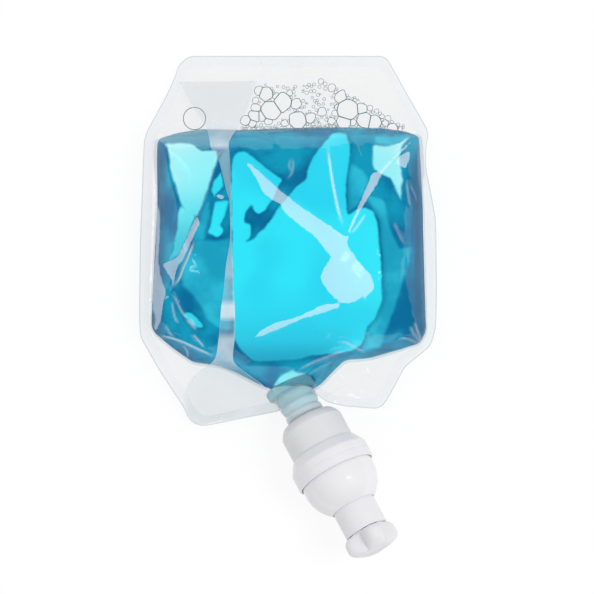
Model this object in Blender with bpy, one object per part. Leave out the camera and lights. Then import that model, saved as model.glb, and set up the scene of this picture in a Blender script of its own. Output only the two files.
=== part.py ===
"""Hand soap refill pack: a clear film pouch of liquid soap lying on its back, with a foam pump on its spout.

Metres, +Z up. The pouch's front film faces +Z, its top seal faces +Y, and the pump leans towards +X and -Y.
The pump is built on its own axis: its local +Z runs from the spout to the nozzle's tip, and local zero is
the ring's widest rim, which rests on the same floor as the pouch.
"""

import math

import bmesh
import bpy
from mathutils import Euler, Vector

# Gaps and walls
CLEARANCE = 0.0003
FILM = 0.0003
MOULDED_WALL = 0.0015

# Pouch film outline, seen from the front
BAG_TOP_HALF_WIDTH = 0.0545
BAG_TOP_Y = 0.1318
BAG_CORNER_DROP = 0.0085
BAG_CORNER_STEP = 0.0034
SHOULDER_HALF_WIDTH = 0.0765
SHOULDER_Y = 0.0907
WAIST_HALF_WIDTH = 0.0805
WAIST_Y = 0.0050
CHAMFER_Y = -0.0200
CHAMFER_STEP_X = 0.0150
CHAMFER_STEP_Y = 0.0180
BAG_FOOT_LEFT_X = -0.0500
BAG_FOOT_RIGHT_X = 0.0510
BAG_FOOT_LEFT_Y = -0.0675
BAG_FOOT_RIGHT_Y = -0.0590
SPOUT_GAP_RIGHT_X = 0.0200
SPOUT_GAP_RIGHT_Y = -0.0545
SPOUT_GAP_LEFT_X = -0.0070
SPOUT_GAP_LEFT_Y = -0.0600

# Liquid pillow inside the film
LIQUID_TOP_Y = 0.0925
LIQUID_TOP_MARGIN = 0.0055
LIQUID_SIDE_MARGIN = 0.0070
LIQUID_SIDE_Y = -0.0180
LIQUID_TAPER_Y = -0.0340
LIQUID_TAPER_MARGIN = 0.0208
LIQUID_FOOT_Y = -0.0470
LIQUID_FOOT_HALF_WIDTH = 0.0160
PILLOW_HEIGHT = 0.0510
PILLOW_ROUNDNESS = 2.8
PILLOW_FULLNESS = 0.68
FLAT_SHARE = 0.70
KEEL_ROUNDNESS = 2.2
KEEL_FULLNESS = 0.75
CROWN_HALF_WIDTH = 0.0720
CROWN_HALF_LENGTH = 0.0700
POUCH_CENTRE_Y = 0.0250

# Foam pocket above the liquid line
POCKET_TOP_Y = 0.1188
POCKET_SEAL = 0.0075
POCKET_HALF_GAP = 0.0024
POCKET_START_SINE = 0.42
POCKET_FULL_SINE = 0.62
SIDE_HALF_GAP = 0.0010
SEAL_HALF_GAP = 0.0003
SEAL_STEP = 0.0015
FOAM_LEFT_X = -0.0300
FOAM_RIGHT_X = 0.0640
FOAM_SHARE = 0.85

# Height of the seam between the two films, and how far it droops
SEAM_HEIGHT = 0.0140
SEAM_TOP_HEIGHT = 0.0022
SEAM_SPOUT_HEIGHT = 0.0115
SEAM_FOOT_HEIGHT = 0.0042
SEAM_SPOUT_HALF_WIDTH = 0.0200
SEAM_TOP_FALL = 0.0300
SEAM_FOOT_FALL = 0.0200

# Folds that stand proud on the front film
FOLD_HEIGHT = 0.0008
FOLD_TOP_LEFT_X = -0.0585
FOLD_TOP_RIGHT_X = -0.0167
FOLD_POINT_Y = 0.0740
BAND_LEFT_X = -0.0394
BAND_RIGHT_X = -0.0329
BAND_FOOT_Y = -0.0330
FOLD_STEPS = 12

# Pump placing
PUMP_X = 0.0218
PUMP_Y = -0.0863
PUMP_TURN_DEG = 27.7
PUMP_RISE_DEG = 12.2
FLOOR_TOUCH = 0.0001

# Locking ring
RING_RADIUS = 0.0218
RING_HEIGHT = 0.0095
RING_CONE_HEIGHT = 0.0056
RING_WALL = 0.0012
RING_EDGE = 0.0006
RING_CHAMFER = 0.0004
RING_KNEE_SHARE = 0.64
RING_KNEE_DROP = 0.0024

# Pump housing
HOUSING_RADIUS = 0.0174
SHOULDER_Z = -0.0245
SHOULDER_HEIGHT = 0.0045
SHOULDER_RADIUS = 0.0143
LIP_Z = 0.0020
LIP_THICKNESS = 0.0016
NECK_PLUG_LENGTH = 0.0055
LIQUID_BORE = 0.0050
LIQUID_WALL = 0.0010
LIQUID_CYLINDER_FOOT = -0.0380
LIQUID_CYLINDER_TOP = -0.0050
INLET_FLOOR = 0.0012
VALVE_HOLE_RADIUS = 0.0018
CAGE_BORE = 0.0042
CAGE_LEDGE_Z = -0.0319
CAGE_THICKNESS = 0.0012
GASKET_THICKNESS = 0.0010
ORING_RADIUS = 0.0005
ORING_PROUD = 0.0001
GROOVE_DEPTH = 0.0011
GROOVE_WIDTH = 0.0018
GROOVE_FOOT = 0.0010

# Dome cover and its guide for the stem
DOME_RADIUS = 0.02025
DOME_CENTRE_Z = 0.0127
DOME_STEPS = 8
GUIDE_FOOT_Z = 0.0160

# Nozzle stem
STEM_RADIUS = 0.0117
STEM_TIP_Z = 0.0440
STEM_WALL = 0.0016
STOP_RADIUS = 0.0150
STOP_THICKNESS = 0.0015
WEB_Z = 0.0275

# Air piston, its valve and the liquid piston
AIR_DISC_Z = 0.0020
AIR_SKIRT_LENGTH = 0.0070
AIR_SKIRT_WALL = 0.0012
AIR_HUB_BORE = 0.0069
AIR_HOLE_RADIUS = 0.0010
AIR_HOLES = 4
AIR_HOLE_TURN = 0.25
FLAP_THICKNESS = 0.0006
PISTON_FOOT_Z = -0.0120
PISTON_HEAD_LENGTH = 0.0035
PISTON_ROD_RADIUS = 0.0036
CUP_FOOT_Z = 0.0050
CUP_FLOOR = 0.0015
CUP_BORE = 0.0032
CUP_MOUTH_Z = 0.0126
SCREEN_THICKNESS = 0.0005
HOLDER_LENGTH = 0.0103
HOLDER_WALL = 0.0012
HUB_LIP_RADIUS = 0.0054
HUB_LIP_LENGTH = 0.0019

# Check balls and the return spring
BALL_RADIUS = 0.0025
SPRING_RADIUS = 0.0036
SPRING_WIRE = 0.0008
SPRING_TURNS = 6
SPRING_POINTS_PER_TURN = 12

# Winged cap
WING_SPAN = 0.0292
CAP_HEIGHT = 0.0112
CAP_WAIST_RADIUS = 0.0088
CAP_TURN_DEG = -14.0
CAP_PLUG_LENGTH = 0.0070
CAP_PLUG_WALL = 0.0012
CAP_LOBES = 4
CAP_LOBE_SHARPNESS = 1.5
CAP_END_RADIUS = 0.0109
CAP_BULGE = 0.55
CAP_END_SHARE = 0.04
CAP_RINGS = 6

# Spout fitment: boat-shaped weld base, then the beaded neck
SPOUT_BORE = 0.0076
BOAT_START_Z = -0.0475
BOAT_END_Z = -0.0430
BOAT_HALF_WIDTH = 0.0135
BOAT_HALF_DEPTH = 0.0087
BOAT_CHAMFER = 0.0010
NECK_RADIUS = 0.0094
BEAD_RADIUS = 0.0106
BEAD_START_Z = -0.0414
BEAD_PITCH = 0.00545
BEADS = 3
BEAD_NOTCH = 0.0010
BEAD_ROUNDING = 0.25
SLEEVE_START_Z = -0.0500
SLEEVE_START_HALF_WIDTH = 0.0090
SLEEVE_START_HALF_DEPTH = 0.0080
SLEEVE_END_Z = -0.0340
COLUMN_START_Z = -0.0500

# Mesh fineness
POUCH_RAYS = 48
PILLOW_RINGS = (0.24, 0.46, 0.64, 0.77, 0.87, 0.95, 1.0)
MARGIN_STEP = 0.15
ROUND_SIDES = 28
CAP_SIDES = 32
INNER_SIDES = 16
BALL_SIDES = 12
HOLE_SIDES = 8
HALVINGS = 30
TINY = 1e-9


def make_material(name, colour, roughness, alpha=1.0, metallic=0.0):
    """A plain Principled material."""
    material = bpy.data.materials.new(name)
    material.use_nodes = True
    shader = material.node_tree.nodes["Principled BSDF"]
    shader.inputs["Base Color"].default_value = (*colour, 1.0)
    shader.inputs["Roughness"].default_value = roughness
    shader.inputs["Metallic"].default_value = metallic
    shader.inputs["Alpha"].default_value = alpha
    return material


def add_object(name, bm, parent, material, smooth=True):
    """Turn a closed bmesh into a named object under its parent, with its faces pointing out."""
    bmesh.ops.recalc_face_normals(bm, faces=bm.faces)
    mesh = bpy.data.meshes.new(name)
    bm.to_mesh(mesh)
    bm.free()
    if smooth:
        mesh.shade_smooth()
        mesh.set_sharp_from_angle(angle=math.radians(35.0))
    if material is not None:
        mesh.materials.append(material)
    obj = bpy.data.objects.new(name, mesh)
    bpy.context.scene.collection.objects.link(obj)
    obj.parent = parent
    return obj


def add_cutter(name, bm, parent):
    """A guide body for a Boolean, which is not part of the model."""
    cutter = add_object(name, bm, parent, None, smooth=False)
    cutter.hide_render = True
    cutter.display_type = "WIRE"
    return cutter


def add_boolean(obj, operation, other):
    """Join or cut with another body."""
    modifier = obj.modifiers.new(operation.title(), "BOOLEAN")
    modifier.operation = operation
    modifier.solver = "EXACT"
    modifier.object = other


def bridge(bm, lower, upper):
    """Faces between two rings of as many points."""
    count = len(lower)
    for i in range(count):
        j = (i + 1) % count
        bm.faces.new((lower[i], lower[j], upper[j], upper[i]))


def skin(bm, inner, outer):
    """Triangles between two rings, all split the same way, so that nested skins never cross."""
    count = len(inner)
    for i in range(count):
        j = (i + 1) % count
        bm.faces.new((inner[i], inner[j], outer[j]))
        bm.faces.new((inner[i], outer[j], outer[i]))


def ring_loft(rings, closed_cycle=False):
    """A closed body through rings of points, capped at both ends, or joined end to start."""
    bm = bmesh.new()
    loops = [[bm.verts.new(point) for point in ring] for ring in rings]
    for lower, upper in zip(loops, loops[1:]):
        bridge(bm, lower, upper)
    if closed_cycle:
        bridge(bm, loops[-1], loops[0])
    else:
        bm.faces.new(loops[0])
        bm.faces.new(loops[-1])
    return bm


def ellipse(half_width, half_depth, z, sides):
    """Points of an ellipse about local Z. The first point lies on the lowest side of the pump."""
    step = 2.0 * math.pi / sides
    return [
        Vector((half_width * math.sin(i * step), -half_depth * math.cos(i * step), z))
        for i in range(sides)
    ]


def circle(radius, z, sides):
    """Points of a circle about local Z."""
    return ellipse(radius, radius, z, sides)


def turned(name, profile, parent, material, sides=ROUND_SIDES):
    """A turned ring or tube: a closed profile of (radius, z) points that stays clear of the axis."""
    rings = [circle(radius, z, sides) for radius, z in profile]
    return add_object(name, ring_loft(rings, closed_cycle=True), parent, material)


def turned_solid(profile, sides):
    """A turned solid body, from its lower end to its upper end."""
    return ring_loft([circle(radius, z, sides) for radius, z in profile])


def between(low, high, value):
    """Smooth step of value from low to high, from 0 to 1."""
    share = min(max((value - low) / (high - low), 0.0), 1.0)
    return share * share * (3.0 - 2.0 * share)


def mix(first, second, share):
    """Straight blend of two numbers."""
    return first + (second - first) * share


def film_corners():
    """Corners of the film's outline, going round from the top right."""
    right = [
        (BAG_TOP_HALF_WIDTH, BAG_TOP_Y),
        (BAG_TOP_HALF_WIDTH + BAG_CORNER_STEP, BAG_TOP_Y - BAG_CORNER_DROP),
        (SHOULDER_HALF_WIDTH, SHOULDER_Y),
        (WAIST_HALF_WIDTH, WAIST_Y),
        (WAIST_HALF_WIDTH, CHAMFER_Y),
        (WAIST_HALF_WIDTH - CHAMFER_STEP_X, CHAMFER_Y - CHAMFER_STEP_Y),
    ]
    left = [(-x, y) for x, y in reversed(right)]
    foot = [
        (BAG_FOOT_RIGHT_X, BAG_FOOT_RIGHT_Y),
        (SPOUT_GAP_RIGHT_X, SPOUT_GAP_RIGHT_Y),
        (SPOUT_GAP_LEFT_X, SPOUT_GAP_LEFT_Y),
        (BAG_FOOT_LEFT_X, BAG_FOOT_LEFT_Y),
    ]
    return right + foot + left


def film_half_width(y):
    """Half width of the film's outline at a height between its foot and its top."""
    corners = film_corners()
    widths = []
    for (ax, ay), (bx, by) in zip(corners, corners[1:]):
        if min(ay, by) <= y <= max(ay, by) and abs(by - ay) > TINY and ax > 0.0:
            widths.append(mix(ax, bx, (y - ay) / (by - ay)))
    return max(widths)


def liquid_corners():
    """Corners of the liquid's outline, a box that tapers towards the spout."""
    right = [
        (film_half_width(LIQUID_TOP_Y) - LIQUID_TOP_MARGIN, LIQUID_TOP_Y),
        (film_half_width(LIQUID_SIDE_Y) - LIQUID_SIDE_MARGIN, LIQUID_SIDE_Y),
        (film_half_width(LIQUID_TAPER_Y) - LIQUID_TAPER_MARGIN, LIQUID_TAPER_Y),
        (LIQUID_FOOT_HALF_WIDTH, LIQUID_FOOT_Y),
    ]
    return right + [(-x, y) for x, y in reversed(right)]


def ray_length(corners, angle):
    """Distance from the pouch's centre to an outline along a direction."""
    dx = math.cos(angle)
    dy = math.sin(angle)
    hits = []
    for (ax, ay), (bx, by) in zip(corners, corners[1:] + corners[:1]):
        ay -= POUCH_CENTRE_Y
        by -= POUCH_CENTRE_Y
        ex = bx - ax
        ey = by - ay
        cross = dx * ey - dy * ex
        if abs(cross) < TINY:
            continue
        along = (ax * ey - ay * ex) / cross
        share = (ax * dy - ay * dx) / cross
        if along > 0.0 and -TINY <= share <= 1.0 + TINY:
            hits.append(along)
    return max(hits)


def ray_angles():
    """Evenly spread directions, each outline corner of the film taking the nearest one."""
    step = 2.0 * math.pi / POUCH_RAYS
    angles = [i * step for i in range(POUCH_RAYS)]
    for x, y in film_corners():
        angle = math.atan2(y - POUCH_CENTRE_Y, x) % (2.0 * math.pi)
        angles[round(angle / step) % POUCH_RAYS] = angle
    return angles


def pocket_length(angle, liquid, film):
    """Distance from the centre to the end of the foam pocket or the sealed edge."""
    reach = film - POCKET_SEAL
    if math.sin(angle) > 0.0:
        reach = min(reach, (POCKET_TOP_Y - POUCH_CENTRE_Y) / math.sin(angle))
    return max(min(reach, mix(liquid, reach, pocket_share(angle))), liquid + SEAL_STEP)


def pocket_share(angle):
    """1 along the top of the pouch, where the films are parted by foam, and 0 round the rest."""
    return between(POCKET_START_SINE, POCKET_FULL_SINE, math.sin(angle))


def seam_height(x, y):
    """Height of the plane where the two films meet."""
    high = between(LIQUID_TOP_Y - SEAM_TOP_FALL, BAG_TOP_Y, y)
    low = between(LIQUID_SIDE_Y + SEAM_FOOT_FALL, LIQUID_FOOT_Y, y)
    height = mix(mix(SEAM_HEIGHT, SEAM_TOP_HEIGHT, high), SEAM_SPOUT_HEIGHT, low)
    beside = between(SEAM_SPOUT_HALF_WIDTH, BAG_FOOT_RIGHT_X, abs(x))
    below = between(LIQUID_TAPER_Y, BAG_FOOT_LEFT_Y, y)
    return mix(height, SEAM_FOOT_HEIGHT, beside * below)


def pillow(share):
    """Rise of the front film from the seam, 1 at the middle and 0 at the liquid's edge."""
    return max(1.0 - share**PILLOW_ROUNDNESS, 0.0) ** PILLOW_FULLNESS


def keel(share):
    """Fall of the back film from the seam to the floor, flat over the middle."""
    if share <= FLAT_SHARE:
        return 1.0
    rest = (share - FLAT_SHARE) / (1.0 - FLAT_SHARE)
    return max(1.0 - rest**KEEL_ROUNDNESS, 0.0) ** KEEL_FULLNESS


class Ray:
    """One direction from the pouch's centre, with the lengths where its stretches end."""

    def __init__(self, angle):
        self.angle = angle
        self.film = ray_length(film_corners(), angle)
        self.liquid = ray_length(liquid_corners(), angle)
        self.pocket = pocket_length(angle, self.liquid, self.film)
        self.crown = 1.0 / math.hypot(math.cos(angle) / CROWN_HALF_WIDTH, math.sin(angle) / CROWN_HALF_LENGTH)
        self.half_gap = mix(SIDE_HALF_GAP, POCKET_HALF_GAP, pocket_share(angle))

    def place(self, length):
        return length * math.cos(self.angle), POUCH_CENTRE_Y + length * math.sin(self.angle)

    def pillow_length(self, share):
        """Distance from the centre to one level of the pillow: round at its crown, square at its edge."""
        return share * mix(min(self.crown, self.liquid), self.liquid, share * share)

    def pillow_heights(self, share):
        """Outer front and back heights at one level of the pillow."""
        x, y = self.place(self.pillow_length(share))
        seam = seam_height(x, y)
        part = self.half_gap + FILM
        top = seam + part + (PILLOW_HEIGHT - seam - part) * pillow(share)
        bottom = (seam - part) * (1.0 - keel(share))
        return top, bottom

    def pocket_heights(self, share):
        """Outer front and back heights at a share of the way from the liquid's edge to the seal."""
        x, y = self.place(mix(self.liquid, self.pocket, share))
        seam = seam_height(x, y)
        part = mix(self.half_gap, SEAL_HALF_GAP, share) + FILM
        return seam + part, max(seam - part, 0.0)

    def margin_heights(self, share):
        """Outer front and back heights at a share of the way across the sealed margin."""
        x, y = self.place(mix(self.pocket, self.film, share))
        seam = seam_height(x, y)
        return seam + FILM, seam - FILM


def pillow_share(ray, length):
    """Level of the pillow at a distance from the centre, found by halving."""
    low = 0.0
    high = 1.0
    for _ in range(HALVINGS):
        middle = (low + high) / 2.0
        if ray.pillow_length(middle) < length:
            low = middle
        else:
            high = middle
    return (low + high) / 2.0


def film_top(x, y):
    """Outer front height of the film over any point of the pouch."""
    angle = math.atan2(y - POUCH_CENTRE_Y, x)
    ray = Ray(angle)
    length = math.hypot(x, y - POUCH_CENTRE_Y)
    if length <= ray.liquid:
        return ray.pillow_heights(pillow_share(ray, length))[0]
    if length <= ray.pocket:
        return ray.pocket_heights((length - ray.liquid) / (ray.pocket - ray.liquid))[0]
    return seam_height(x, y) + FILM


def ray_body(rays, stations):
    """A closed body over rays. A station gives each ray's (length, front height, back height)."""
    bm = bmesh.new()
    front_rows = []
    back_rows = []
    for station in stations:
        front = []
        back = []
        for ray in rays:
            length, top, bottom = station(ray)
            x, y = ray.place(length)
            front.append(bm.verts.new((x, y, top)))
            back.append(bm.verts.new((x, y, bottom)))
        front_rows.append(front)
        back_rows.append(back)
    for rows in (front_rows, back_rows):
        for inner, outer in zip(rows, rows[1:]):
            skin(bm, inner, outer)
    bridge(bm, front_rows[-1], back_rows[-1])
    for row, height in ((front_rows[0], 0), (back_rows[0], 1)):
        _, top, bottom = stations[0](rays[0])
        hub = bm.verts.new((0.0, POUCH_CENTRE_Y, (top, bottom)[height]))
        for i, point in enumerate(row):
            bm.faces.new((hub, point, row[(i + 1) % len(row)]))
    return bm


def pillow_station(share, inset, shrink):
    """Station on the pillow, its walls moved in by an inset and its reach shortened by shrink."""

    def station(ray):
        top, bottom = ray.pillow_heights(share)
        return ray.pillow_length(share) * (1.0 - shrink / ray.liquid), top - inset, bottom + inset

    return station


def pocket_station(share, inset):
    """Station across the foam pocket."""

    def station(ray):
        top, bottom = ray.pocket_heights(share)
        return mix(ray.liquid, ray.pocket, share), top - inset, bottom + inset

    return station


def margin_station(share):
    """Station across the sealed margin, whose first step is just outside the pocket."""

    def station(ray):
        top, bottom = ray.margin_heights(share)
        return mix(ray.pocket, ray.film, share), top, bottom

    return station


def outer_pouch(rays):
    """Solid outer form of the pouch."""
    stations = [pillow_station(share, 0.0, 0.0) for share in PILLOW_RINGS]
    stations += [pocket_station(0.5, 0.0), pocket_station(1.0, 0.0)]
    stations += [margin_station(MARGIN_STEP), margin_station(1.0)]
    return ray_body(rays, stations)


def cavity(rays):
    """Space between the films."""
    stations = [pillow_station(share, FILM, FILM) for share in PILLOW_RINGS[:-1]]
    stations += [pocket_station(0.0, FILM), pocket_station(0.5, FILM), pocket_station(1.0, FILM)]
    return ray_body(rays, stations)


def liquid_pillow(rays):
    """The liquid, a clearance inside the film."""
    inset = FILM + CLEARANCE
    return ray_body(rays, [pillow_station(share, inset, FILM + 2.0 * CLEARANCE) for share in PILLOW_RINGS])


def fold_edges(y):
    """Left and right edge of the folded film: a V that narrows into a band."""
    share = min(max((y - FOLD_POINT_Y) / (POCKET_TOP_Y - FOLD_POINT_Y), 0.0), 1.0)
    return mix(BAND_LEFT_X, FOLD_TOP_LEFT_X, share), mix(BAND_RIGHT_X, FOLD_TOP_RIGHT_X, share)


def fold_body():
    """The V-shaped fold and the band below it, standing proud of the front film."""
    bm = bmesh.new()
    rows = []
    for step in range(FOLD_STEPS + 1):
        y = mix(POCKET_TOP_Y, BAND_FOOT_Y, step / FOLD_STEPS)
        left, right = fold_edges(y)
        row = []
        for x in (left, (left + right) / 2.0, right):
            top = film_top(x, y)
            row.append((x, y, top + FOLD_HEIGHT, (top + seam_height(x, y)) / 2.0))
        rows.append(row)
    fronts = [[bm.verts.new((x, y, top)) for x, y, top, _ in row] for row in rows]
    backs = [[bm.verts.new((x, y, low)) for x, y, _, low in row] for row in rows]
    last = len(fronts[0]) - 1
    for i in range(FOLD_STEPS):
        for grid in (fronts, backs):
            for j in range(last):
                bm.faces.new((grid[i][j], grid[i][j + 1], grid[i + 1][j + 1], grid[i + 1][j]))
        for j in (0, last):
            bm.faces.new((fronts[i][j], fronts[i + 1][j], backs[i + 1][j], backs[i][j]))
    for i in (0, FOLD_STEPS):
        for j in range(last):
            bm.faces.new((fronts[i][j], fronts[i][j + 1], backs[i][j + 1], backs[i][j]))
    return bm


def sleeve_rings(grow, mouth, start, end):
    """Rings round the spout: the mouth's half width and depth, the boat, then the neck's circle."""
    bead = BEAD_RADIUS + CLEARANCE
    sections = [
        (*mouth, start),
        (BOAT_HALF_WIDTH, BOAT_HALF_DEPTH, BOAT_START_Z),
        (BOAT_HALF_WIDTH, BOAT_HALF_DEPTH, BOAT_END_Z),
        (bead, bead, BEAD_START_Z),
        (bead, bead, end),
    ]
    return [ellipse(width + grow, depth + grow, z, ROUND_SIDES) for width, depth, z in sections]


def build_pouch(pack, pump, materials):
    """Film, liquid and foam."""
    rays = [Ray(angle) for angle in ray_angles()]
    film = add_object("pouch_film", outer_pouch(rays), pack, materials["film"])
    fold = add_cutter("fold_guide", fold_body(), pack)
    funnel = (SLEEVE_START_HALF_WIDTH, SLEEVE_START_HALF_DEPTH)
    sleeve = add_cutter(
        "sleeve_guide", ring_loft(sleeve_rings(CLEARANCE + FILM, funnel, SLEEVE_START_Z, SLEEVE_END_Z)), pump
    )
    space = add_cutter("cavity_guide", cavity(rays), pack)
    tunnel_end = SHOULDER_Z - CLEARANCE
    tunnel = add_cutter(
        "tunnel_guide",
        ring_loft(sleeve_rings(CLEARANCE, funnel, SLEEVE_START_Z - CLEARANCE, tunnel_end)),
        pump,
    )
    add_boolean(film, "UNION", fold)
    add_boolean(film, "UNION", sleeve)
    add_boolean(film, "DIFFERENCE", space)
    add_boolean(film, "DIFFERENCE", tunnel)

    liquid = add_object("liquid_soap", liquid_pillow(rays), pack, materials["liquid"])
    boat = (BOAT_HALF_WIDTH, BOAT_HALF_DEPTH)
    boat_room = sleeve_rings(CLEARANCE, boat, BOAT_START_Z - CLEARANCE, SLEEVE_END_Z)
    boat_space = add_cutter("boat_guide", ring_loft(boat_room), pump)
    column_end = SHOULDER_Z - NECK_PLUG_LENGTH - CLEARANCE
    column = add_cutter(
        "column_guide",
        turned_solid(
            [(SPOUT_BORE - CLEARANCE, COLUMN_START_Z), (SPOUT_BORE - CLEARANCE, column_end)],
            INNER_SIDES,
        ),
        pump,
    )
    inlet_radius = LIQUID_BORE + LIQUID_WALL + CLEARANCE
    inlet = add_cutter(
        "inlet_guide",
        turned_solid(
            [(inlet_radius, LIQUID_CYLINDER_FOOT - CLEARANCE), (inlet_radius, column_end + CLEARANCE)],
            INNER_SIDES,
        ),
        pump,
    )
    add_boolean(liquid, "DIFFERENCE", boat_space)
    add_boolean(liquid, "UNION", column)
    add_boolean(liquid, "DIFFERENCE", inlet)

    add_object("foam_layer", foam_patch(rays), pack, materials["foam"])


def foam_patch(rays):
    """The foam between the films, from the liquid line to short of the top seal."""
    chosen = [
        ray
        for ray in rays
        if pocket_share(ray.angle) >= 1.0 and FOAM_LEFT_X < ray.place(ray.liquid)[0] < FOAM_RIGHT_X
    ]
    bm = bmesh.new()
    fronts = []
    backs = []
    start = 2.0 * CLEARANCE
    for ray in chosen:
        width = ray.pocket - ray.liquid
        front = []
        back = []
        for share in (start / width, 0.5, FOAM_SHARE):
            top, bottom = ray.pocket_heights(share)
            x, y = ray.place(mix(ray.liquid, ray.pocket, share))
            inset = FILM + CLEARANCE
            front.append(bm.verts.new((x, y, top - inset)))
            back.append(bm.verts.new((x, y, bottom + inset)))
        fronts.append(front)
        backs.append(back)
    steps = len(fronts[0]) - 1
    for i in range(len(chosen) - 1):
        for grid in (fronts, backs):
            for j in range(steps):
                bm.faces.new((grid[i][j], grid[i][j + 1], grid[i + 1][j + 1], grid[i + 1][j]))
        for j in (0, steps):
            bm.faces.new((fronts[i][j], fronts[i + 1][j], backs[i + 1][j], backs[i][j]))
    for i in (0, len(chosen) - 1):
        for j in range(steps):
            bm.faces.new((fronts[i][j], fronts[i][j + 1], backs[i][j + 1], backs[i][j]))
    return bm


def build_spout(pump, materials):
    """Boat-shaped weld base and beaded neck, one moulding."""
    end = SHOULDER_Z - CLEARANCE
    sections = [
        (BOAT_HALF_WIDTH - BOAT_CHAMFER, BOAT_HALF_DEPTH - BOAT_CHAMFER * 0.5, BOAT_START_Z),
        (BOAT_HALF_WIDTH, BOAT_HALF_DEPTH, BOAT_START_Z + BOAT_CHAMFER),
        (BOAT_HALF_WIDTH, BOAT_HALF_DEPTH, BOAT_END_Z),
        (NECK_RADIUS, min(NECK_RADIUS, BOAT_HALF_DEPTH), BOAT_END_Z + CLEARANCE),
    ]
    for bead in range(BEADS):
        start = BEAD_START_Z + bead * BEAD_PITCH
        stop = min(start + BEAD_PITCH - BEAD_NOTCH, end - BEAD_NOTCH)
        round_off = (stop - start) * BEAD_ROUNDING
        for radius, z in (
            (NECK_RADIUS, start),
            (BEAD_RADIUS, start + round_off),
            (BEAD_RADIUS, stop - round_off),
            (NECK_RADIUS, stop),
        ):
            sections.append((radius, radius, z))
    sections.append((NECK_RADIUS, NECK_RADIUS, end))
    rings = [ellipse(width, depth, z, ROUND_SIDES) for width, depth, z in sections]
    rings.append(circle(SPOUT_BORE, end, ROUND_SIDES))
    rings.append(circle(SPOUT_BORE, BOAT_START_Z, ROUND_SIDES))
    add_object("spout_fitment", ring_loft(rings, closed_cycle=True), pump, materials["spout"])


def build_housing(pump, materials):
    """Air cylinder, liquid cylinder and neck plug, one turned moulding, with its seals."""
    plug = SPOUT_BORE - CLEARANCE
    plug_foot = SHOULDER_Z - NECK_PLUG_LENGTH
    groove = plug - GROOVE_DEPTH
    groove_low = plug_foot + GROOVE_FOOT
    groove_high = groove_low + GROOVE_WIDTH
    liquid_outer = LIQUID_BORE + LIQUID_WALL
    air_bore = HOUSING_RADIUS - MOULDED_WALL
    lip_radius = RING_RADIUS - RING_WALL - CLEARANCE * 2.0
    air_floor = SHOULDER_Z + SHOULDER_HEIGHT + MOULDED_WALL
    turned(
        "pump_housing",
        [
            (VALVE_HOLE_RADIUS, LIQUID_CYLINDER_FOOT),
            (liquid_outer, LIQUID_CYLINDER_FOOT),
            (liquid_outer, plug_foot),
            (plug, plug_foot),
            (plug, groove_low),
            (groove, groove_low),
            (groove, groove_high),
            (plug, groove_high),
            (plug, SHOULDER_Z),
            (SHOULDER_RADIUS, SHOULDER_Z),
            (HOUSING_RADIUS, SHOULDER_Z + SHOULDER_HEIGHT),
            (HOUSING_RADIUS, LIP_Z),
            (lip_radius, LIP_Z),
            (lip_radius, LIP_Z + LIP_THICKNESS),
            (air_bore, LIP_Z + LIP_THICKNESS),
            (air_bore, air_floor),
            (liquid_outer, air_floor),
            (liquid_outer, LIQUID_CYLINDER_TOP),
            (LIQUID_BORE, LIQUID_CYLINDER_TOP),
            (LIQUID_BORE, CAGE_LEDGE_Z),
            (CAGE_BORE, CAGE_LEDGE_Z),
            (CAGE_BORE, LIQUID_CYLINDER_FOOT + INLET_FLOOR),
            (VALVE_HOLE_RADIUS, LIQUID_CYLINDER_FOOT + INLET_FLOOR),
        ],
        pump,
        materials["housing"],
    )
    seal_radius = plug + ORING_PROUD - ORING_RADIUS
    seal_z = (groove_low + groove_high) / 2.0
    section = [(seal_radius + ORING_RADIUS * dx, seal_z + ORING_RADIUS * dy) for dx, dy in hexagon()]
    turned("neck_o_ring", section, pump, materials["rubber"], sides=INNER_SIDES)
    gasket_z = LIP_Z + LIP_THICKNESS + CLEARANCE
    turned(
        "housing_gasket",
        [
            (air_bore, gasket_z),
            (lip_radius, gasket_z),
            (lip_radius, gasket_z + GASKET_THICKNESS),
            (air_bore, gasket_z + GASKET_THICKNESS),
        ],
        pump,
        materials["rubber"],
    )


def hexagon():
    """Corners of a unit hexagon, for the O-ring's section."""
    return [(math.cos(math.pi * k / 3.0), math.sin(math.pi * k / 3.0)) for k in range(6)]


def build_ring(pump, materials):
    """Locking ring: a flared band that holds the dome's skirt on the housing's lip."""
    inner = HOUSING_RADIUS + CLEARANCE
    step_z = LIP_Z - CLEARANCE
    bore = RING_RADIUS - RING_WALL
    turned(
        "locking_ring",
        [
            (inner, -RING_CONE_HEIGHT),
            (inner + RING_EDGE, -RING_CONE_HEIGHT),
            (mix(inner, RING_RADIUS, RING_KNEE_SHARE), -RING_KNEE_DROP),
            (RING_RADIUS - RING_CHAMFER, -RING_EDGE),
            (RING_RADIUS, 0.0),
            (RING_RADIUS, RING_HEIGHT - RING_EDGE),
            (RING_RADIUS - RING_CHAMFER, RING_HEIGHT),
            (bore, RING_HEIGHT),
            (bore, step_z),
            (inner, step_z),
        ],
        pump,
        materials["ring"],
    )


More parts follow.
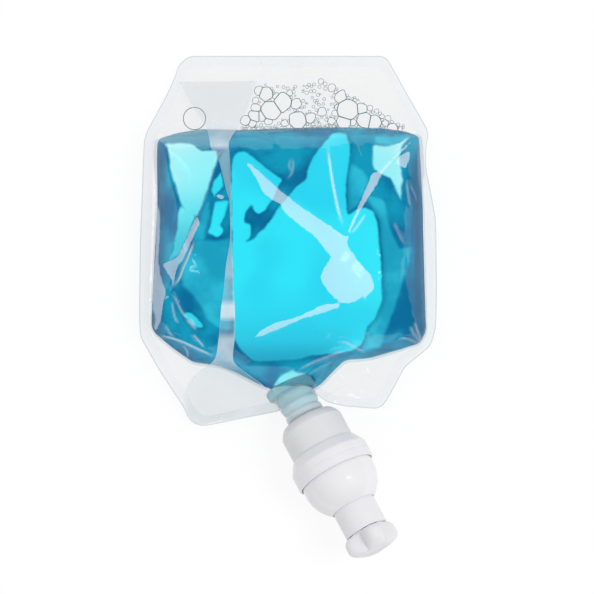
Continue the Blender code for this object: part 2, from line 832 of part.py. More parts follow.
def build_dome(pump, materials):
    """Dome cover with the inner guide that the stem slides in."""
    foot = LIP_Z + LIP_THICKNESS + GASKET_THICKNESS + 2.0 * CLEARANCE
    bore = STEM_RADIUS + CLEARANCE
    inner_radius = DOME_RADIUS - MOULDED_WALL
    guide = bore + MOULDED_WALL
    outer = [(DOME_RADIUS, foot)]
    last = math.acos(bore / DOME_RADIUS)
    for step in range(DOME_STEPS + 1):
        angle = last * step / DOME_STEPS
        outer.append((DOME_RADIUS * math.cos(angle), DOME_CENTRE_Z + DOME_RADIUS * math.sin(angle)))
    inner = [(bore, GUIDE_FOOT_Z), (guide, GUIDE_FOOT_Z)]
    start = math.acos(guide / inner_radius)
    for step in range(DOME_STEPS // 2 + 1):
        angle = start * (1.0 - step / (DOME_STEPS // 2))
        inner.append((inner_radius * math.cos(angle), DOME_CENTRE_Z + inner_radius * math.sin(angle)))
    inner.append((inner_radius, foot))
    turned("dome_cover", outer + inner, pump, materials["dome"])


def build_nozzle(pump, materials):
    """Stem with its stop flange and the web that backs the foaming screens."""
    foot = AIR_DISC_Z + MOULDED_WALL + CLEARANCE
    bore = STEM_RADIUS - STEM_WALL
    stop_top = GUIDE_FOOT_Z - CLEARANCE
    turned(
        "nozzle",
        [
            (bore, foot),
            (STEM_RADIUS, foot),
            (STEM_RADIUS, stop_top - STOP_THICKNESS),
            (STOP_RADIUS, stop_top - STOP_THICKNESS),
            (STOP_RADIUS, stop_top),
            (STEM_RADIUS, stop_top),
            (STEM_RADIUS, STEM_TIP_Z),
            (bore, STEM_TIP_Z),
            (bore, WEB_Z + MOULDED_WALL),
            (HUB_LIP_RADIUS, WEB_Z + MOULDED_WALL),
            (HUB_LIP_RADIUS, WEB_Z),
            (bore, WEB_Z),
        ],
        pump,
        materials["stem"],
    )


def build_air_piston(pump, materials):
    """Air piston: skirt, disc with air holes, and the hub that plugs into the stem."""
    skirt = HOUSING_RADIUS - MOULDED_WALL - CLEARANCE
    hub = STEM_RADIUS - STEM_WALL - CLEARANCE
    disc_top = AIR_DISC_Z + MOULDED_WALL
    hub_top = WEB_Z - CLEARANCE
    piston = turned(
        "air_piston",
        [
            (AIR_HUB_BORE, AIR_DISC_Z),
            (skirt - AIR_SKIRT_WALL, AIR_DISC_Z),
            (skirt - AIR_SKIRT_WALL, AIR_DISC_Z - AIR_SKIRT_LENGTH),
            (skirt, AIR_DISC_Z - AIR_SKIRT_LENGTH),
            (skirt, disc_top),
            (hub, disc_top),
            (hub, hub_top),
            (HUB_LIP_RADIUS, hub_top),
            (HUB_LIP_RADIUS, hub_top - HUB_LIP_LENGTH),
            (AIR_HUB_BORE, hub_top - HUB_LIP_LENGTH),
        ],
        pump,
        materials["inner"],
        sides=ROUND_SIDES,
    )
    hole_circle = (STEM_RADIUS + skirt) / 2.0
    for hole in range(AIR_HOLES):
        angle = 2.0 * math.pi * (hole + AIR_HOLE_TURN) / AIR_HOLES
        bm = turned_solid([(AIR_HOLE_RADIUS, -MOULDED_WALL), (AIR_HOLE_RADIUS, MOULDED_WALL)], HOLE_SIDES)
        cutter = add_cutter(f"air_hole_guide_{hole + 1}", bm, pump)
        cutter.location = (
            hole_circle * math.cos(angle),
            hole_circle * math.sin(angle),
            AIR_DISC_Z + MOULDED_WALL / 2.0,
        )
        add_boolean(piston, "DIFFERENCE", cutter)
    flap_inner = STEM_RADIUS + CLEARANCE
    flap_foot = disc_top + CLEARANCE
    turned(
        "air_valve",
        [
            (flap_inner, flap_foot),
            (skirt, flap_foot),
            (skirt, flap_foot + FLAP_THICKNESS),
            (flap_inner, flap_foot + FLAP_THICKNESS),
        ],
        pump,
        materials["rubber"],
    )


def build_liquid_piston(pump, materials):
    """Liquid piston: head, hollow rod, and the cup that holds the outlet ball."""
    head = LIQUID_BORE - CLEARANCE
    cup = AIR_HUB_BORE - CLEARANCE
    turned(
        "liquid_piston",
        [
            (VALVE_HOLE_RADIUS, PISTON_FOOT_Z),
            (head, PISTON_FOOT_Z),
            (head, PISTON_FOOT_Z + PISTON_HEAD_LENGTH),
            (PISTON_ROD_RADIUS, PISTON_FOOT_Z + PISTON_HEAD_LENGTH),
            (PISTON_ROD_RADIUS, CUP_FOOT_Z),
            (cup, CUP_FOOT_Z),
            (cup, CUP_MOUTH_Z),
            (CUP_BORE, CUP_MOUTH_Z),
            (CUP_BORE, CUP_FOOT_Z + CUP_FLOOR),
            (VALVE_HOLE_RADIUS, CUP_FOOT_Z + CUP_FLOOR),
        ],
        pump,
        materials["inner"],
        sides=INNER_SIDES,
    )


def build_screens(pump, materials):
    """The foaming screens at the two ends of their holder."""
    radius = AIR_HUB_BORE - CLEARANCE
    z = CUP_MOUTH_Z + CLEARANCE
    add_object(
        "coarse_mesh",
        turned_solid([(radius, z), (radius, z + SCREEN_THICKNESS)], INNER_SIDES),
        pump,
        materials["screen"],
    )
    z += SCREEN_THICKNESS + CLEARANCE
    turned(
        "mesh_holder",
        [
            (radius - HOLDER_WALL, z),
            (radius, z),
            (radius, z + HOLDER_LENGTH),
            (radius - HOLDER_WALL, z + HOLDER_LENGTH),
        ],
        pump,
        materials["inner"],
        sides=INNER_SIDES,
    )
    z += HOLDER_LENGTH + CLEARANCE
    add_object(
        "fine_mesh",
        turned_solid([(radius, z), (radius, z + SCREEN_THICKNESS)], INNER_SIDES),
        pump,
        materials["screen"],
    )


def ball_mesh():
    """A check ball with its poles on the pump's axis."""
    bm = bmesh.new()
    levels = BALL_SIDES // 2 + 2
    bmesh.ops.create_uvsphere(bm, u_segments=BALL_SIDES, v_segments=levels, radius=BALL_RADIUS)
    return bm


def build_balls(pump, materials):
    """Check balls, each a clearance above the rim of its seat."""
    seat = math.sqrt((BALL_RADIUS + CLEARANCE) ** 2 - VALVE_HOLE_RADIUS**2)
    inlet = add_object("inlet_ball", ball_mesh(), pump, materials["ball"])
    inlet.location = (0.0, 0.0, LIQUID_CYLINDER_FOOT + INLET_FLOOR + seat)
    outlet = add_object("outlet_ball", ball_mesh(), pump, materials["ball"])
    outlet.location = (0.0, 0.0, CUP_FOOT_Z + CUP_FLOOR + seat)


def build_cage_and_spring(pump, materials):
    """Cage over the inlet ball, and the spring between it and the liquid piston."""
    cage_foot = CAGE_LEDGE_Z + CLEARANCE
    cage_top = cage_foot + CAGE_THICKNESS
    turned(
        "ball_retainer",
        [
            (VALVE_HOLE_RADIUS, cage_foot),
            (LIQUID_BORE - CLEARANCE, cage_foot),
            (LIQUID_BORE - CLEARANCE, cage_top),
            (VALVE_HOLE_RADIUS, cage_top),
        ],
        pump,
        materials["inner"],
        sides=INNER_SIDES,
    )
    start = cage_top + CLEARANCE + SPRING_WIRE / 2.0
    end = PISTON_FOOT_Z - CLEARANCE - SPRING_WIRE / 2.0
    curve = bpy.data.curves.new("return_spring", "CURVE")
    curve.dimensions = "3D"
    curve.bevel_depth = SPRING_WIRE / 2.0
    curve.bevel_resolution = 0
    curve.use_fill_caps = True
    spline = curve.splines.new("POLY")
    count = SPRING_TURNS * SPRING_POINTS_PER_TURN
    spline.points.add(count)
    for i in range(count + 1):
        angle = 2.0 * math.pi * i / SPRING_POINTS_PER_TURN
        spline.points[i].co = (
            SPRING_RADIUS * math.cos(angle),
            SPRING_RADIUS * math.sin(angle),
            mix(start, end, i / count),
            1.0,
        )
    curve.materials.append(materials["steel"])
    spring = bpy.data.objects.new("return_spring", curve)
    bpy.context.scene.collection.objects.link(spring)
    spring.parent = pump


def cap_ring(share, z):
    """One ring of the winged cap, whose lobes bulge out at mid height."""
    bulge = math.sqrt(max(1.0 - (2.0 * share - 1.0) ** 2, 0.0))
    reach = mix(CAP_END_RADIUS, WING_SPAN / 2.0, bulge**CAP_BULGE)
    waist = min(CAP_WAIST_RADIUS, reach)
    points = []
    turn = math.radians(CAP_TURN_DEG)
    for i in range(CAP_SIDES):
        angle = 2.0 * math.pi * i / CAP_SIDES
        lobe = abs(math.cos(CAP_LOBES * angle / 2.0)) ** CAP_LOBE_SHARPNESS
        radius = mix(waist, reach, lobe)
        points.append(Vector((radius * math.sin(angle + turn), -radius * math.cos(angle + turn), z)))
    return points


def build_cap(pump, materials):
    """Winged cap: a four-lobed knob with a hollow plug that pushes into the stem."""
    foot = STEM_TIP_Z + CLEARANCE
    plug = STEM_RADIUS - STEM_WALL - CLEARANCE
    rings = []
    for step in range(CAP_RINGS):
        share = mix(CAP_END_SHARE, 1.0 - CAP_END_SHARE, step / (CAP_RINGS - 1))
        z = foot + CAP_HEIGHT * step / (CAP_RINGS - 1)
        rings.append(cap_ring(share, z))
    cap = add_object("winged_cap", ring_loft(rings), pump, materials["stem"])
    sides = INNER_SIDES
    plug_body = turned_solid([(plug, STEM_TIP_Z - CAP_PLUG_LENGTH), (plug, foot + MOULDED_WALL)], sides)
    hollow = plug - CAP_PLUG_WALL
    hollow_body = turned_solid(
        [(hollow, STEM_TIP_Z - CAP_PLUG_LENGTH - MOULDED_WALL), (hollow, foot + MOULDED_WALL / 2.0)], sides
    )
    add_boolean(cap, "UNION", add_cutter("plug_guide", plug_body, pump))
    add_boolean(cap, "DIFFERENCE", add_cutter("plug_hollow_guide", hollow_body, pump))


def add_empty(name, parent=None):
    """A frame to place pieces in."""
    empty = bpy.data.objects.new(name, None)
    bpy.context.scene.collection.objects.link(empty)
    empty.parent = parent
    return empty


def place_pump(pump):
    """Turn the pump's axis in plan, raise its tip, and set the ring's widest rim on the floor."""
    rise = math.radians(PUMP_RISE_DEG)
    turn = math.radians(PUMP_TURN_DEG)
    pump.rotation_mode = "XYZ"
    pump.rotation_euler = Euler((math.pi / 2.0 - rise, 0.0, turn))
    pump.location = (PUMP_X, PUMP_Y, RING_RADIUS * math.cos(rise) + FLOOR_TOUCH)


def centre_on_floor(pack):
    """Move the whole pack so that the middle of its footprint is the origin."""
    bpy.context.view_layer.update()
    corners = []
    for obj in bpy.context.scene.objects:
        if obj.type in {"MESH", "CURVE"} and not obj.hide_render:
            corners += [obj.matrix_world @ vertex.co for vertex in obj.to_mesh().vertices]
            obj.to_mesh_clear()
    for axis in (0, 1):
        values = [corner[axis] for corner in corners]
        pack.location[axis] = -(min(values) + max(values)) / 2.0


def make_materials():
    """One material for each kind of surface."""
    return {
        "film": make_material("clear_film", (0.93, 0.95, 0.96), 0.08, alpha=0.25),
        "liquid": make_material("blue_soap", (0.05, 0.62, 0.80), 0.05, alpha=0.75),
        "foam": make_material("soap_foam", (0.82, 0.92, 0.94), 0.25, alpha=0.45),
        "spout": make_material("spout_plastic", (0.55, 0.76, 0.80), 0.35, alpha=0.85),
        "housing": make_material("frosted_plastic", (0.84, 0.85, 0.86), 0.45),
        "ring": make_material("white_ring_plastic", (0.88, 0.87, 0.89), 0.25),
        "dome": make_material("white_dome_plastic", (0.90, 0.89, 0.91), 0.20),
        "stem": make_material("white_stem_plastic", (0.87, 0.86, 0.88), 0.35),
        "inner": make_material("natural_plastic", (0.86, 0.87, 0.86), 0.40),
        "screen": make_material("screen_mesh", (0.80, 0.82, 0.82), 0.60),
        "rubber": make_material("grey_rubber", (0.25, 0.26, 0.27), 0.70),
        "ball": make_material("glass_ball", (0.75, 0.80, 0.80), 0.10),
        "steel": make_material("spring_steel", (0.60, 0.60, 0.61), 0.30, metallic=1.0),
    }


def main():
    for obj in list(bpy.data.objects):
        bpy.data.objects.remove(obj, do_unlink=True)
    materials = make_materials()
    pack = add_empty("pack_frame")
    pump = add_empty("pump_axis", pack)
    place_pump(pump)
    build_pouch(pack, pump, materials)
    build_spout(pump, materials)
    build_housing(pump, materials)
    build_ring(pump, materials)
    build_dome(pump, materials)
    build_nozzle(pump, materials)
    build_air_piston(pump, materials)
    build_liquid_piston(pump, materials)
    build_screens(pump, materials)
    build_balls(pump, materials)
    build_cage_and_spring(pump, materials)
    build_cap(pump, materials)
    centre_on_floor(pack)


main()
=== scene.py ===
import math

import bpy
import numpy as np
from mathutils import Euler, Matrix, Vector


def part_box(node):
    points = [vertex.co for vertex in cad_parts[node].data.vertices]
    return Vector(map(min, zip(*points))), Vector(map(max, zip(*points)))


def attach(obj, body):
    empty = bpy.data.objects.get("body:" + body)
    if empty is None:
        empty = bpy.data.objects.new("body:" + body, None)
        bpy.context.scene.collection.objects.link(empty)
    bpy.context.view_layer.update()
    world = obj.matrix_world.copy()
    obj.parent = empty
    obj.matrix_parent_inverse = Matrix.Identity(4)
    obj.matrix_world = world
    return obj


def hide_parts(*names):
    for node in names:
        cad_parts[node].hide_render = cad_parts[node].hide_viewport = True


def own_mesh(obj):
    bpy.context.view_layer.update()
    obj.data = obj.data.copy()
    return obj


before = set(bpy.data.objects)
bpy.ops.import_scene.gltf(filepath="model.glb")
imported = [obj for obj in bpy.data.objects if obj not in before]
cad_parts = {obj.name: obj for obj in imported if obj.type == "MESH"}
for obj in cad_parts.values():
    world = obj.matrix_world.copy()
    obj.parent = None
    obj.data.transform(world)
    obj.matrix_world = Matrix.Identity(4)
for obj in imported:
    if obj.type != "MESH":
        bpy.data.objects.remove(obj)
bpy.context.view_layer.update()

# Lengths are metres. Pixels are places in a 594 x 594 picture of the pack, seen by this scene's camera.
PICTURE = 594
PIXEL = 0.00054
CAMERA_ELEVATION = math.radians(85.0)
CAMERA_DISTANCE = 1.6
CAMERA_SENSOR = 0.036
CAMERA_TARGET = (0.0049, 0.0058, 0.0080)

# Pouch, in its own frame, which the CAD model shifts along Y
BAG_TOP_Y = 0.1318
PACK_SHIFT_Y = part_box("pouch_film")[1].y - BAG_TOP_Y
POUCH_CENTRE_Y = 0.0250
FILM_GAP = 0.00045
PILLOW_HEIGHT = 0.0506
PILLOW_ROUNDNESS = 2.8
PILLOW_FULLNESS = 0.68
FLAT_SHARE = 0.70
KEEL_ROUNDNESS = 2.2
KEEL_FULLNESS = 0.75
CROWN_HALF_WIDTH = 0.0720
CROWN_HALF_LENGTH = 0.0700
LIQUID_TOP_Y = 0.0925
LIQUID_SIDE_Y = -0.0180
LIQUID_TAPER_Y = -0.0340
LIQUID_FOOT_Y = -0.0470
LIQUID_SHRINK = 0.0010
POCKET_TOP_Y = 0.1188
POCKET_SEAL = 0.0060
POCKET_HALF_GAP = 0.0024
SIDE_HALF_GAP = 0.0010
SEAL_HALF_GAP = 0.0003
POCKET_START_SINE = 0.42
POCKET_FULL_SINE = 0.62
SEAM_HEIGHT = 0.0140
SEAM_TOP_HEIGHT = 0.0022
SEAM_SPOUT_HEIGHT = 0.0115
SEAM_FOOT_HEIGHT = 0.0042
SEAM_SPOUT_HALF_WIDTH = 0.0200
SEAM_TOP_FALL = 0.0300
SEAM_FOOT_FALL = 0.0200
BAG_FOOT_RIGHT_X = 0.0510
BAG_FOOT_LEFT_Y = -0.0675

# Pump, as the CAD model places it
PUMP_X = 0.0218
PUMP_Y = -0.0863
PUMP_TURN = math.radians(27.7)
PUMP_RISE = math.radians(12.2)
RING_RADIUS = 0.0218
FLOOR_TOUCH = 0.0001

# Outlines in the picture, going round clockwise from the top left
FILM_OUTLINE = [
    (188, 56), (386, 56), (395, 72), (429, 132), (426, 150), (426, 168), (431, 192), (436, 220),
    (437, 292), (436, 328), (431, 346), (415, 359), (405, 367), (394, 388), (384, 405), (377, 409),
    (342, 406), (326, 402), (318, 395), (311, 388), (300, 384), (289, 388), (283, 398), (281, 411),
    (240, 419), (206, 426), (196, 425), (188, 418), (184, 408), (172, 390), (160, 372), (140, 337),
    (139, 315), (140, 240), (142, 190), (144, 140), (147, 131), (168, 92), (176, 74), (178, 66),
]
LIQUID_OUTLINE = [
    (157, 139), (176, 133), (200, 129), (240, 130), (290, 128), (335, 127), (380, 128), (405, 131),
    (420, 136), (421, 150), (424, 200), (425, 240), (427, 320), (428, 331), (422, 344), (398, 352),
    (370, 360), (346, 362), (334, 373), (322, 386), (314, 391), (300, 394), (276, 393), (262, 388),
    (250, 382), (232, 373), (215, 367), (192, 364), (172, 350), (153, 334), (150, 327), (151, 300),
    (154, 240), (156, 200), (156, 150),
]

ZONE_ROUNDING = 2.6

# Zones of painted light and shade on the liquid: where it shows pale, bright, middling or steel blue through
# the folds of the film
PAINTED_PALE_ZONES = [
    [(160, 141.5), (170, 143), (191, 143), (197, 147), (204, 150), (217, 149.5), (218.5, 158.7),
     (215.8, 167.8), (212, 178.6), (208.1, 191.6), (203.6, 203), (199.7, 213), (197, 217), (192.8, 215.3),
     (188.3, 213.8), (182.9, 208.4), (177.5, 194), (173.7, 181.6), (170, 171), (168.4, 155.6),
     (166, 146)],
    [(374, 144.5), (387.8, 145.7), (396.2, 143.7), (402.3, 140.3), (411, 136), (406.2, 141),
     (402.3, 147.2), (400.8, 154.8), (401.2, 168), (403.1, 178.6), (400.8, 200.7), (396.2, 191.6),
     (390, 178.6), (381, 174.7), (374, 169.4), (372.5, 160.2), (371.5, 148)],
    [(176.8, 217), (180, 205.4), (192.8, 212.3), (196, 216.3), (191.7, 226.8), (186.7, 238.2), (179, 254),
     (168, 262), (172.4, 251.6), (175.6, 232)],
    [(272, 386.5), (279.5, 376), (291.6, 369.6), (299, 373), (312, 374.5), (316, 384), (300, 388),
     (282, 389)],
]
PAINTED_BRIGHT_ZONES = [
    [(232, 160), (235, 155), (244.2, 151.4), (254, 158), (260.3, 164), (271, 173), (282, 179.7),
     (277, 189), (271, 200.8), (265.6, 209.2), (257.5, 214.2), (254.1, 209.2), (251.5, 204.2),
     (245, 211.5), (243, 222.2), (251, 224.5), (250.3, 238.3), (245, 242), (253.4, 239), (267.9, 225.3),
     (278.6, 210), (287.8, 197.7), (296.2, 186.2), (307.3, 178.6), (307.7, 171), (313, 158),
     (319.2, 150.3), (331.5, 134), (345.7, 133.8), (350.7, 147), (349.5, 159.4), (346.1, 178.6),
     (346.1, 201.5), (347.6, 216), (355.7, 210), (364, 208), (373.3, 212.2), (378, 222), (379, 244),
     (381.4, 257), (381.8, 298), (376.4, 314.5), (366.5, 327.8), (361.5, 345), (352, 350), (336, 353),
     (318, 355), (296, 359), (270, 362), (252, 360), (241, 350), (234, 338), (233, 300), (232, 240)],
    [(184, 314), (189, 312), (196, 318), (203, 327), (197, 327), (190, 321)],
    [(212.7, 183), (221.2, 171), (223.8, 185), (215.8, 194), (215, 198.5), (210.8, 191.6)],
    [(215, 201.5), (228, 200.7), (227.3, 206.1), (223.5, 216.8), (218.9, 225.2), (223.5, 231),
     (217.3, 237.5), (207, 232), (210.4, 227.5), (213.5, 207.6)],
]
PAINTED_MIDDLE_ZONES = [
    [(196, 240), (206, 240), (216, 241), (231, 238), (233, 300), (233, 330), (222, 330), (208, 320),
     (199.8, 303), (191.5, 293), (183.2, 286), (182, 279), (188, 262)],
    [(204, 206), (209, 200), (210, 215), (206, 232), (204, 241), (194, 240), (199, 222)],
    [(350.7, 163.3), (361.8, 171), (368, 180), (365.6, 188.5), (360.2, 200), (357.2, 207.6), (347.2, 213),
     (347, 194), (347.2, 178.6)],
    [(368, 196), (384, 200), (388, 222), (399, 250), (411, 247), (408.7, 260), (407, 272), (398.8, 295),
     (394.6, 309), (388, 326), (380, 348), (362, 350), (364, 335), (372, 321), (379, 308), (382, 298),
     (382, 258), (379, 222)],
    [(375.6, 136.5), (410, 135.7), (397.7, 143.4), (387.8, 145.3), (376.3, 143.7)],
]
PAINTED_STEEL_ZONES = [
    [(158, 139.5), (164.5, 135.3), (190.6, 129.6), (207, 129.2), (211.2, 148.7), (203.6, 149.9),
     (196.7, 147.2), (191.3, 143.4), (170, 143.4), (160, 141.5)],
    [(219, 159.4), (227.3, 148), (230, 148), (230.3, 191), (226.5, 190.8)],
]

# Painted reflections on the film: flat stretches of it where the reflection of a pale room is painted milky
# white
PAINTED_REFLECTION_ZONES = [
    [(243.8, 158.7), (260.3, 172.5), (278.6, 189.3), (300, 206.2), (323, 221.5), (345, 236.8), (350, 235),
     (346.2, 242.5), (350.7, 250.7), (359.8, 263.2), (371.4, 275.6), (374.7, 288), (365.6, 298),
     (364.8, 303.8), (363, 294.7), (361.9, 298), (349, 303.8), (340.8, 303), (330, 294), (323, 284),
     (320.5, 276.7), (323, 269.5), (331.4, 257.4), (325.4, 250), (315.4, 236.8), (300, 225.3),
     (288.6, 216), (282.4, 210), (280.9, 203.9), (271.8, 200), (268.7, 197), (263.3, 193),
     (256.4, 178.6)],
    [(381, 170), (371.7, 174), (365.6, 190), (357.2, 208.4), (346.5, 234), (350.3, 231.4), (360.2, 210),
     (365.6, 202.3), (371.7, 192.3), (377.8, 183), (381.5, 174), (393, 160), (403, 151), (412, 141),
     (401, 149)],
    [(395, 162.5), (401, 155), (410, 151), (410.4, 157.1), (406.2, 167.8), (401.2, 167)],
    [(339.8, 303.3), (323, 304.5), (296.4, 317.7), (274.7, 322.6), (260.3, 331), (254.2, 338.2),
     (274.7, 331), (298.8, 320), (323, 313), (339.8, 307)],
    [(215.8, 195.4), (221.2, 194.2), (225.7, 197.7), (220.4, 199.6)],
]
# Fainter painted reflections, down the left side of the film
FAINT_PAINTED_REFLECTION_ZONES = [
    [(197, 216), (192, 226), (185.7, 240), (179, 255), (173.2, 260), (162.4, 264), (165.8, 270.7),
     (172.4, 280.6), (172, 289), (177.4, 267.4), (183.2, 259), (192.3, 240), (200, 222)],
    [(156, 200), (156.2, 240), (155, 265), (152.5, 290), (153.3, 310.5), (156.2, 318), (154, 329),
     (157, 330), (161, 318.8), (162.4, 306.3), (166, 292), (160.8, 277.3), (158, 260), (159.5, 240),
     (160, 215)],
]

# Creases of the front film: line, height of the crest, half widths to the right and left in pixels, whiteness
# of the highlight painted on its crest
CREASES = [
    ([(244, 159), (261, 173), (279, 190), (300, 206), (323, 222), (345, 237)], 0.0010, 10.0, 3.0, 0.05),
    ([(347, 235), (356, 217), (366, 197), (377, 172), (392, 158), (411, 139)], 0.0009, 5.0, 3.0, 0.10),
    ([(327, 144), (330, 165), (332, 179), (335, 195), (339, 213), (344, 228)], 0.0005, 2.5, 2.5, 0.75),
    ([(366, 213), (361, 221), (355, 229), (350, 234)], 0.0003, 1.5, 1.5, 0.40),
    ([(229, 148), (218, 160), (211, 180), (207, 193), (203, 206), (197, 222), (190, 240)],
     0.0012, 4.0, 5.0, 0.05),
    ([(195, 238), (191, 250), (187, 260), (183, 269), (179, 279), (172, 289)], 0.0010, 3.0, 4.0, 0.55),
    ([(378, 225), (379, 244), (381, 258), (381, 285), (381, 299), (377, 314), (366, 328), (361, 346)],
     0.0007, 3.0, 6.0, 0.0),
    ([(350, 150), (346, 171), (346, 201), (347, 215)], 0.0005, 3.0, 3.0, 0.0),
    ([(254, 338), (275, 331), (300, 319), (325, 310), (342, 304)], 0.0007, 6.0, 3.0, 0.05),
    ([(338, 310), (334, 322), (324, 338)], 0.0008, 3.0, 5.0, 0.0),
    ([(156, 335), (171, 338), (185, 343), (200, 350), (216, 357)], 0.0010, 3.0, 4.0, 0.60),
    ([(172, 292), (177, 302), (182, 312), (190, 322)], 0.0006, 2.0, 2.0, 0.35),
    ([(172, 300), (173, 310), (176, 320), (180, 324)], 0.0004, 1.5, 1.5, 0.35),
    ([(165, 324), (170, 333), (175, 338)], 0.0006, 2.0, 2.0, 0.30),
    ([(186, 318), (191, 324), (197, 330)], 0.0007, 2.5, 2.5, 0.45),
    ([(192, 333), (198, 340), (205, 348)], 0.0007, 2.5, 2.5, 0.40),
    ([(182, 345), (187, 351), (188, 358)], 0.0006, 2.0, 2.0, 0.35),
    ([(190, 318), (193, 322), (194, 328)], 0.0008, 3.0, 3.0, 0.35),
    ([(156, 190), (159, 210), (157, 235), (155, 262), (158, 285)], 0.0008, 4.0, 4.0, 0.0),
    ([(158, 285), (164, 300), (158, 316), (153, 330)], 0.0008, 4.0, 5.0, 0.0),
    ([(153.5, 309), (156.5, 318), (155.5, 328)], 0.0006, 2.0, 2.0, 0.45),
    ([(165, 150), (170, 180), (178, 205), (176, 232), (170, 258)], 0.0006, 5.0, 5.0, 0.0),
    ([(422, 344), (414, 334), (409, 325)], 0.0006, 2.0, 2.0, 0.30),
    ([(421, 344), (405, 338), (397, 340)], 0.0006, 2.0, 2.0, 0.25),
    ([(422, 343), (417, 330), (414, 320)], 0.0006, 2.0, 2.0, 0.35),
    ([(420, 345), (398, 351), (376, 352), (360, 349)], 0.0008, 3.0, 3.0, 0.05),
    ([(338, 341), (347, 343), (360, 350), (368, 353)], 0.0007, 2.0, 3.0, 0.35),
    ([(406, 179), (408, 195), (410, 208)], 0.0005, 2.0, 2.0, 0.25),
    ([(409, 183), (413, 192), (417, 202)], 0.0004, 2.0, 2.0, 0.15),
    ([(393, 221), (398, 232), (404, 245)], 0.0006, 2.5, 2.5, 0.20),
    ([(400, 250), (396, 280), (386, 306), (374, 330)], 0.0006, 6.0, 6.0, 0.0),
    ([(291, 157), (289, 166), (292, 172), (287, 180)], 0.0005, 2.0, 2.0, 0.20),
    ([(293, 158), (293, 168), (291, 176)], 0.0004, 1.5, 1.5, 0.20),
    ([(262, 134), (275, 142), (283, 152)], 0.0006, 4.0, 4.0, 0.0),
    ([(352, 136), (358, 152), (366, 170), (369, 181)], 0.0006, 3.0, 3.0, 0.0),
    ([(318, 386), (330, 376), (345, 362), (352, 356)], 0.0006, 3.0, 4.0, 0.0),
    ([(296, 371), (316, 361), (338, 353), (350, 350)], 0.0009, 3.0, 3.0, 0.30),
    ([(304, 378), (318, 368), (336, 360)], 0.0006, 2.5, 2.5, 0.10),
    ([(236, 370), (256, 366), (284, 366), (300, 368)], 0.0007, 4.0, 4.0, 0.0),
]
WRINKLE_SEED = 11
# Wrinkles of the film's margin, in the same columns, with highlights painted on their crests
MARGIN_WRINKLES = [
    ([(335, 372), (345, 384), (358, 392), (372, 396)], 0.0007, 3.0, 3.0, 0.10),
    ([(340, 388), (352, 398), (366, 402)], 0.0006, 3.0, 3.0, 0.05),
    ([(362, 366), (370, 380), (374, 394)], 0.0007, 4.0, 3.0, 0.10),
    ([(322, 398), (334, 392), (346, 384)], 0.0004, 2.0, 2.0, 0.10),
    ([(372, 362), (392, 356), (412, 350), (428, 342)], 0.0006, 3.0, 4.0, 0.05),
    ([(378, 358), (402, 352), (424, 338)], 0.0004, 2.0, 3.0, 0.0),
    ([(260, 57), (261, 68), (258, 80)], 0.0003, 1.5, 4.0, 0.15),
    ([(187, 80), (230, 79), (257, 80), (290, 79), (330, 78), (388, 79)], 0.0003, 1.2, 1.2, 0.15),
    ([(320, 77), (350, 94), (385, 112), (422, 132)], 0.0004, 2.0, 2.0, 0.15),
    ([(320, 77), (326, 96), (335, 116)], 0.0008, 5.0, 3.0, 0.15),
    ([(272, 84), (274, 100), (281, 118)], 0.0006, 6.0, 5.0, 0.0),
    ([(286, 82), (292, 98), (300, 112)], 0.0006, 6.0, 5.0, 0.0),
    ([(306, 80), (312, 98), (318, 116)], 0.0005, 6.0, 6.0, 0.0),
    ([(150, 132), (165, 126), (188, 117), (206, 108)], 0.0004, 3.0, 3.0, 0.10),
    ([(196, 66), (212, 72), (228, 68)], 0.0002, 6.0, 6.0, 0.0),
]
SWELL_LENGTH = 0.022
SWELL_HEIGHT = 0.00035
RIPPLE_LENGTH = 0.0065
RIPPLE_HEIGHT = 0.00005

# Numbers that the materials of the film and the soap read
NOWHERE = -50.0
CREASE_HIGHLIGHT_WIDTH = 1.7
SLEEVE_VALUES = {"white": 0.12, "edge": 4.0, "outside": 2.0, "painted_reflection": NOWHERE, "faint_reflection": NOWHERE}

# Film, its mouth round the spout as (height, half width, half depth) rings, the column of soap and the lap
FILM_INNER_SHARE = 0.80
RIM_GATHER = 0.6
SLEEVE_RINGS = [
    (-0.0476, 0.0132, 0.0089), (-0.0466, 0.0138, 0.0090), (-0.0430, 0.0136, 0.0091),
    (-0.0420, 0.0126, 0.0100), (-0.0412, 0.0112, 0.0109), (-0.0380, 0.0109, 0.0109),
    (-0.0340, 0.0109, 0.0109),
]
COLUMN_RADIUS = 0.0073
COLUMN_START_Z = -0.0480
COLUMN_END_Z = -0.0303
LAP_LIFT = 0.00055
LAP_ROWS = 150
LAP_COLUMNS = 26
LAP_LEFT = [
    (179, 82), (193, 108), (206.6, 129), (211.2, 148.7), (218.5, 160), (223.5, 178.6), (226.5, 191),
    (229.4, 203), (229.9, 240), (226, 265), (223.8, 290), (221.3, 306), (220, 323), (218.4, 339.5),
    (214, 360), (196, 374), (187, 386), (185, 400), (187, 414), (197, 425),
]
LAP_RIGHT = [
    (257, 81), (249, 105), (238, 127), (231, 138), (228.6, 146), (230.3, 168), (230.8, 186),
    (231.5, 201.5), (231.8, 240), (232.9, 265), (233.7, 290), (234.6, 302), (235.2, 323), (234.6, 339.5),
    (233.5, 360), (245, 372), (262, 384), (272, 396), (279, 406), (281, 411),
]
COLUMN_RINGS = 12
LOOSE_START = 0.66
LOOSE_LIFT = 0.0007
FLUTTER_HEIGHT = 0.0012
FLUTTER_ACROSS = 7.0
FLUTTER_ALONG = 30.0

